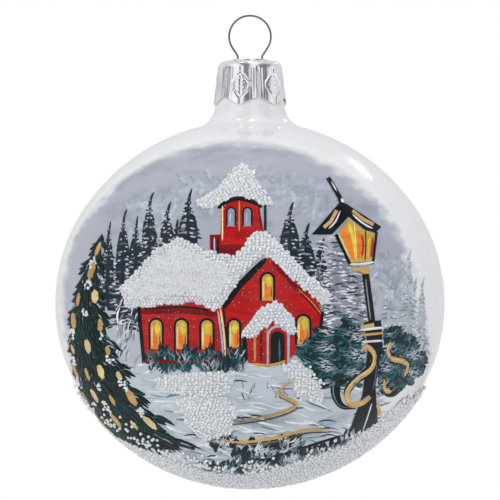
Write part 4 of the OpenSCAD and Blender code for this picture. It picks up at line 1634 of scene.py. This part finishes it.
@dataclass
class Ground:
    """The snowy ground, its paths and its twigs.

    Args:
        globe: The ball.
        paints: The finishes.
    """

    globe: Globe
    paints: Paintbox

    def build(self) -> None:
        """Dress the coats and the gold lines, and brush the ground and the sky."""
        dress_node("sky_coat", self.paints["sky_coat"])
        dress_node("snowfield_coat", self.paints["snowfield"])
        pots = Pots
        path = Canvas(self.globe, 0.3, 72, base=0.1)
        for line in (
            [(8.7, -14.4), (5.6, -17.2), (9.2, -19.4), (6.4, -21), (1.6, -22.2), (-4.4, -23)],
            [(-6.2, -26.4), (-1.8, -27.2), (5.6, -26.2), (10.8, -24.8), (16, -24.6)],
        ):
            path.stroke(line, 0.75, pots.GOLD, Tip.LEAF)
            path.stroke([(x, z - 0.7) for x, z in line[1:]], 0.3, pots.BLUE_BLACK, Tip.LEAF)
        piece = path.piece("gold_lines", self.paints["gold_relief"])
        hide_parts("gold_path")
        field_work = Canvas(self.globe, 0.13, 71)
        draw = field_work.draw
        twigs = (pots.PALE_LILAC, pots.SNOW, pots.LILAC_GREY, pots.SLATE)
        for _ in range(46):
            spot = (draw.uniform(-27.0, -22.4), draw.uniform(-12.0, 0.5))
            field_work.dab(spot, draw.uniform(1.6, 3.4), draw.uniform(0.4, 0.9), draw.uniform(40, 80),
                           draw.choice(twigs), Tip.LEAF, 0.1, 0.02)
        for _ in range(330):
            z = draw.uniform(-34.0, -11.0)
            half = 33.0 * math.sqrt(max(0.05, 1 - (z / 37.0) ** 2))
            x = draw.uniform(-half, half)
            colour = draw.choice((pots.SNOW, pots.SNOW, pots.PALE_LILAC, pots.MIST, pots.STEEL_BLUE))
            field_work.dab((x, z), draw.uniform(2.0, 6.5), draw.uniform(0.3, 0.8), draw.uniform(-24, 12),
                           colour, Tip.LEAF, draw.uniform(-0.1, 0.1))
        for _ in range(16):
            spot = (-2.0 + 10.0 * draw.random(), -16.0 - 2.6 * draw.random())
            field_work.dab(spot, draw.uniform(0.8, 1.8), 0.22, draw.uniform(50, 130), pots.BLUE_BLACK,
                           Tip.POINT, 0.0, 0.03)
        kerb = [(-9, -33.7), (4, -30.6), (16.6, -26.7), (22, -25.5)]
        field_work.stroke(kerb, 0.9, pots.BLACK, Tip.LEAF, 0.03)
        for _ in range(26):
            z = draw.uniform(-33.0, -15.0)
            x = draw.uniform(-16.0, 20.0)
            field_work.dab((x, z), draw.uniform(2.0, 5.0), 0.4, draw.uniform(-10, 8), pots.DEEP_TEAL,
                           Tip.LEAF, 0.1, 0.01)
        field_work.piece("ground_strokes", self.paints["brushwork"])
        mist = Canvas(self.globe, 0.125, 73)
        draw = mist.draw
        for k in range(420):
            if k % 3:
                x = draw.uniform(-24, 18)
                top = 25.5 - 0.012 * (x + 1) ** 2
                spot = (x, top - abs(draw.gauss(0, 4.0)))
            else:
                x = draw.uniform(18, 33)
                spot = (x, 9.0 - 0.25 * abs(x - 27) ** 1.5 - abs(draw.gauss(0, 8.0)))
            mist.dab(spot, draw.uniform(1.6, 3.6), draw.uniform(1.2, 2.2), draw.uniform(10, 170),
                     draw.choice((pots.SKY_MIST, pots.SKY_MIST, pots.SKY_MIST, pots.PALE_MIST)), Tip.LEAF,
                     draw.uniform(-0.2, 0.2))
        mist.piece("sky_mist", self.paints["brushwork"])


@dataclass
class Snow:
    """Every bed of glass beads, and the glitter.

    Args:
        globe: The ball.
        paints: The finishes.
        stamps: The bead and the flake.
        bead: A bead's width.
    """

    THIN_FROM = 3.0 * MM
    THIN_OVER = 9.0 * MM
    RIGHT_FROM = 30 * MM
    RIGHT_TOP = -0.0790
    TOP_SOFT = 4.0 * MM
    FILMS = ("gable_roof_snow", "belfry_roof_snow", "porch_roof_snow", "snow_puffs",
             "left_drift", "middle_drift", "right_drift")

    globe: Globe
    paints: Paintbox
    stamps: Stamps
    bead: float = 0.74 * MM

    def build(self) -> None:
        """Lay the beds of beads, then sprinkle the glitter."""
        beads = self.paints["glass_beads"]
        self.nave_roof(beads)
        for k, node in enumerate(self.FILMS):
            soft = 2.4 * MM if "drift" in node else 1.1 * MM
            piece = self.stamps.bead_bed("beaded_" + node, node, self.bead, beads, 80 + k, soft)
        self.bank(beads)
        draw = random.Random(95)
        # The paste bed under the beads is real, but its grey tint, darker than the beads and the glass, is
        # painted shade in the gaps between the beads.
        glue_gap_shade = Region(self.globe, "nave_roof_snow", *self.FILMS).packed(0.8 * MM, draw, 0.1)
        bank = Region(self.globe, "base_snow_band").packed(0.8 * MM, draw, 0.1)
        glue_gap_shade += [p for p in bank if p.y < -6.0 * MM and self.kept(p, draw)]
        marks = [(self.stamps.frame_at(p, 0.14 * MM, 1.1 * MM, 0.0, draw), (0.7, 0.73, 0.77)) for p in glue_gap_shade]
        roof = Region(self.globe, "nave_roof_snow")
        marks += [(self.stamps.frame_at(p, 0.4 * MM, 1.0 * MM, 0.05, draw), (0.8, 0.82, 0.85))
                  for p in roof.packed(0.6 * MM, draw, 0.1) if roof.depth(p, 1.7 * MM) == 1.0]
        piece = self.stamps.set("snow_glue_gap_shade", self.stamps.flake, marks, self.paints["snow_paste"])
        glitter = self.paints["glitter"]
        pastel = [tone(250, 250, 252), tone(250, 214, 226), tone(208, 226, 250), tone(212, 246, 226),
                  tone(240, 232, 250)]
        points = [p for p in roof.packed(0.5 * MM, draw, 0.4) if draw.random() < 0.4]
        piece = self.stamps.sprinkle("roof_glitter", points, pastel, 0.3 * MM, 0.7 * MM, glitter, 96)
        walls = Region(self.globe, "nave_wall", "gable_wall", "belfry_wall", "porch_wall")
        points = [p for p in walls.packed(0.8 * MM, draw, 0.4) if draw.random() < 0.26]
        teal = [tone(60, 200, 190), tone(120, 230, 214), tone(240, 120, 110), tone(30, 120, 120)]
        piece = self.stamps.sprinkle("wall_glitter", points, teal, 0.24 * MM, 0.3 * MM, glitter, 97)

    @staticmethod
    def kept(p: Vector, draw: random.Random) -> bool:
        """Tell whether the bank has snow at a point, so that its far ends thin out.

        Args:
            p: The point, in the row frame.
            draw: Source of random numbers.

        Returns:
            True if it has.
        """
        wave = 2.0 * MM * math.sin(p.x / (2.3 * MM)) + 1.4 * MM * math.sin(p.z / (1.3 * MM))
        end = (p.y + wave + Snow.THIN_FROM) / Snow.THIN_OVER
        high = (p.z - Snow.RIGHT_TOP + wave * 0.6) / Snow.TOP_SOFT if p.x > Snow.RIGHT_FROM else 0.0
        return draw.random() > max(end, high)

    def nave_roof(self, beads: bpy.types.Material) -> None:
        """Lay beads along the nave roof's rim and fine frost inside it.

        Args:
            beads: The beads' finish.
        """
        draw = random.Random(79)
        region = Region(self.globe, "nave_roof_snow")
        rim = 1.9 * MM
        turns = [k * math.pi / 4 for k in range(8)]
        around = [Vector((rim * math.cos(a), 0.0, rim * math.sin(a))) for a in turns]
        marks = []
        for size, inside, loose in ((self.bead, False, 0.16), (0.38 * MM, True, 0.5)):
            for p in region.packed(size * 0.98, draw, loose):
                deep = all(region.holds(p + step) for step in around)
                if deep != inside:
                    continue
                width = size * draw.uniform(0.7, 1.06)
                grey = draw.uniform(0.88, 1.0)
                height = 0.12 * MM + (0.4 * MM if inside else width * 0.3)
                place = self.stamps.frame_at(p, height, width, 0.0, draw)
                marks.append((place, (grey, grey, min(1.0, grey * 1.02))))
        piece = self.stamps.set("beaded_nave_roof_snow", self.stamps.bead, marks, beads)
        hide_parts("nave_roof_snow")

    def bank(self, beads: bpy.types.Material) -> None:
        """Lay the bank of beads round the underside, in quarters.

        Args:
            beads: The beads' finish.
        """
        draw = random.Random(90)
        quarters: dict[int, list[tuple[Matrix, Colour]]] = {k: [] for k in range(4)}
        for p in Region(self.globe, "base_snow_band").packed(self.bead * 1.02, draw, 0.2):
            if not self.kept(p, draw):
                continue
            width = self.bead * draw.uniform(0.76, 1.0)
            grey = draw.uniform(0.8, 1.0)
            place = self.stamps.frame_at(p, width * 0.32 + 0.12 * MM, width, 0.0, draw)
            quarter = int((math.atan2(p.y, p.x) / math.pi + 1.0) * 2) % 4
            quarters[quarter].append((place, (grey, min(1.0, grey * 1.015), min(1.0, grey * 1.03))))
        for _ in range(260):
            x = draw.uniform(-36.0, 36.0)
            rise = -33.6 + 0.0115 * x * x + abs(draw.gauss(0, 1.3))
            p = self.globe.lay((x, rise))
            width = self.bead * draw.uniform(0.8, 1.0)
            quarters[int((math.atan2(p.y, p.x) / math.pi + 1.0) * 2) % 4].append(
                (self.stamps.frame_at(p, width * 0.42 + 0.12 * MM, width, 0.0, draw), (0.95, 0.96, 0.98)))
        for quarter, marks in quarters.items():
            if marks:
                piece = self.stamps.set(f"beaded_bank_{quarter + 1}", self.stamps.bead, marks, beads)
                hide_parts("base_snow_band")


@dataclass
class Studio:
    """The camera, the lights, the white surroundings and the pale floor.

    Args:
        globe: The ball.
        lens: The camera's focal length, in mm.
        distance: From the camera to the ball's middle.
        aim_z: Height that the camera looks at.
    """

    globe: Globe
    FLOOR_R = 1.1
    FLOOR_Z = -0.25
    LIGHTS = (
        ("front", (-0.25, -0.9, 0.35), (0.7, 0.7), 3.3, False),
        ("left", (-0.9, -0.3, 0.1), (0.5, 0.8), 1.7, False),
        ("right", (0.9, -0.25, 0.2), (0.5, 0.8), 2.1, False),
        ("top", (0.0, 0.15, 0.8), (0.7, 0.7), 2.0, False),
        ("window_a", (0.03, 0.02, 0.7), (0.06, 0.06), 0.25, True),
        ("window_b", (-0.2, 0.02, 0.68), (0.05, 0.05), 0.1, True),
        ("streak", (0.3, 0.5, 0.34), (0.09, 0.03), 0.06, True),
    )

    lens: float = 300.0
    distance: float = 0.857
    aim_z: float = -0.048

    def light(
        self, name: str, place: Vector, size: tuple[float, float], power: float, glossy: bool
    ) -> None:
        """Add one area light that points at the ball.

        Args:
            name: Its name.
            place: Where it stands.
            size: Its width and height.
            power: Its power, in watts.
            glossy: Whether it shows in reflections.
        """
        data = bpy.data.lights.new(name, "AREA")
        data.shape = "RECTANGLE"
        data.size, data.size_y = size
        data.energy = power
        obj = bpy.data.objects.new(name, data)
        obj.location = place
        aim = Vector((0.0, 0.0, self.globe.centre_z)) - place
        obj.rotation_euler = aim.to_track_quat("-Z", "Y").to_euler()
        obj.visible_glossy = glossy
        bpy.context.scene.collection.objects.link(obj)

    def surround(self) -> None:
        """Make the surroundings white to the camera and softer as a light."""
        world = bpy.data.worlds.new("surround")
        world.use_nodes = True
        bpy.context.scene.world = world
        n = Nodes(world.node_tree)
        back = world.node_tree.nodes["Background"]
        path = n.add("ShaderNodeLightPath")
        place = n.add("ShaderNodeTexCoord")
        split = n.add("ShaderNodeSeparateXYZ")
        n.join(place.outputs["Generated"], split.inputs[0])
        wave = n.math("SINE", n.math("MULTIPLY", split.outputs[0], 7.0))
        bands = n.mix(n.ramp(wave, -0.5, 0.5), (0.16, 0.17, 0.2), (1.05, 1.05, 1.06))
        front = n.mix(n.ramp(split.outputs[1], 0.25, -0.15), (0.72, 0.73, 0.75), bands)
        soft = n.mix(path.outputs["Is Glossy Ray"], (0.44, 0.45, 0.47), front)
        n.join(n.mix(path.outputs["Is Camera Ray"], soft, (1.0, 1.0, 1.0)), back.inputs["Color"])

    def floor(self) -> None:
        """Lay the plain pale floor, well below the hanging ball."""
        bm = bmesh.new()
        bmesh.ops.create_circle(bm, cap_ends=True, segments=96, radius=self.FLOOR_R)
        bmesh.ops.translate(bm, vec=(0.0, 0.0, self.FLOOR_Z), verts=bm.verts[:])
        mesh = bpy.data.meshes.new("floor")
        bm.to_mesh(mesh)
        bm.free()
        material = bpy.data.materials.new("floor")
        material.use_nodes = True
        shader = material.node_tree.nodes["Principled BSDF"]
        n = Nodes(material.node_tree)
        noise = n.add("ShaderNodeTexNoise")
        noise.inputs["Scale"].default_value = 8.0
        n.join(n.mix(noise.outputs[0], (0.84, 0.84, 0.84), (0.88, 0.88, 0.88)), shader.inputs["Base Color"])
        shader.inputs["Roughness"].default_value = 0.8
        to_object("floor", mesh, material, False)

    def build(self) -> None:
        """Set up the whole studio."""
        scene = bpy.context.scene
        scene.view_settings.view_transform = "Standard"
        data = bpy.data.cameras.new("camera")
        data.lens = self.lens
        data.clip_start, data.clip_end = 0.05, 20.0
        camera = bpy.data.objects.new("camera", data)
        camera.location = (0.0, -self.distance, self.aim_z)
        camera.rotation_euler = (math.pi / 2, 0.0, 0.0)
        scene.collection.objects.link(camera)
        scene.camera = camera
        self.surround()
        self.floor()
        for name, place, size, power, glossy in self.LIGHTS:
            self.light(name, Vector(place), size, power, glossy)


def dress_node(node: str, material: bpy.types.Material) -> None:
    """Give a carried CAD node its finish.

    Args:
        node: The node's name.
        material: The finish.
    """
    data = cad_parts[node].data
    data.materials.clear()
    data.materials.append(material)


def main() -> None:
    """Build the ball, its cap and its picture, then the studio."""
    logging.basicConfig(level=logging.INFO, format="%(message)s")
    low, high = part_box("white_lining")
    lining_in = 0.9 * MM
    radius = (high.x - low.x) / 2 + lining_in
    globe = Globe(round(radius, 5), 2.4 * MM, -58.93 * MM)
    paints = Paintbox(Effects(globe))
    stamps = Stamps(globe)
    Glassware(globe, paints).build()
    dress_node("white_lining", paints["lacquer"])
    CrownCap(globe, paints).build()
    dress_node("hanger_wire", paints["wire"])
    for part in (Ground, Forest, Church, Shrubs, StreetLamp, ChristmasTree):
        part(globe, paints).build()
    Snow(globe, paints, stamps).build()
    Studio(globe).build()


if __name__ == "__main__":
    main()
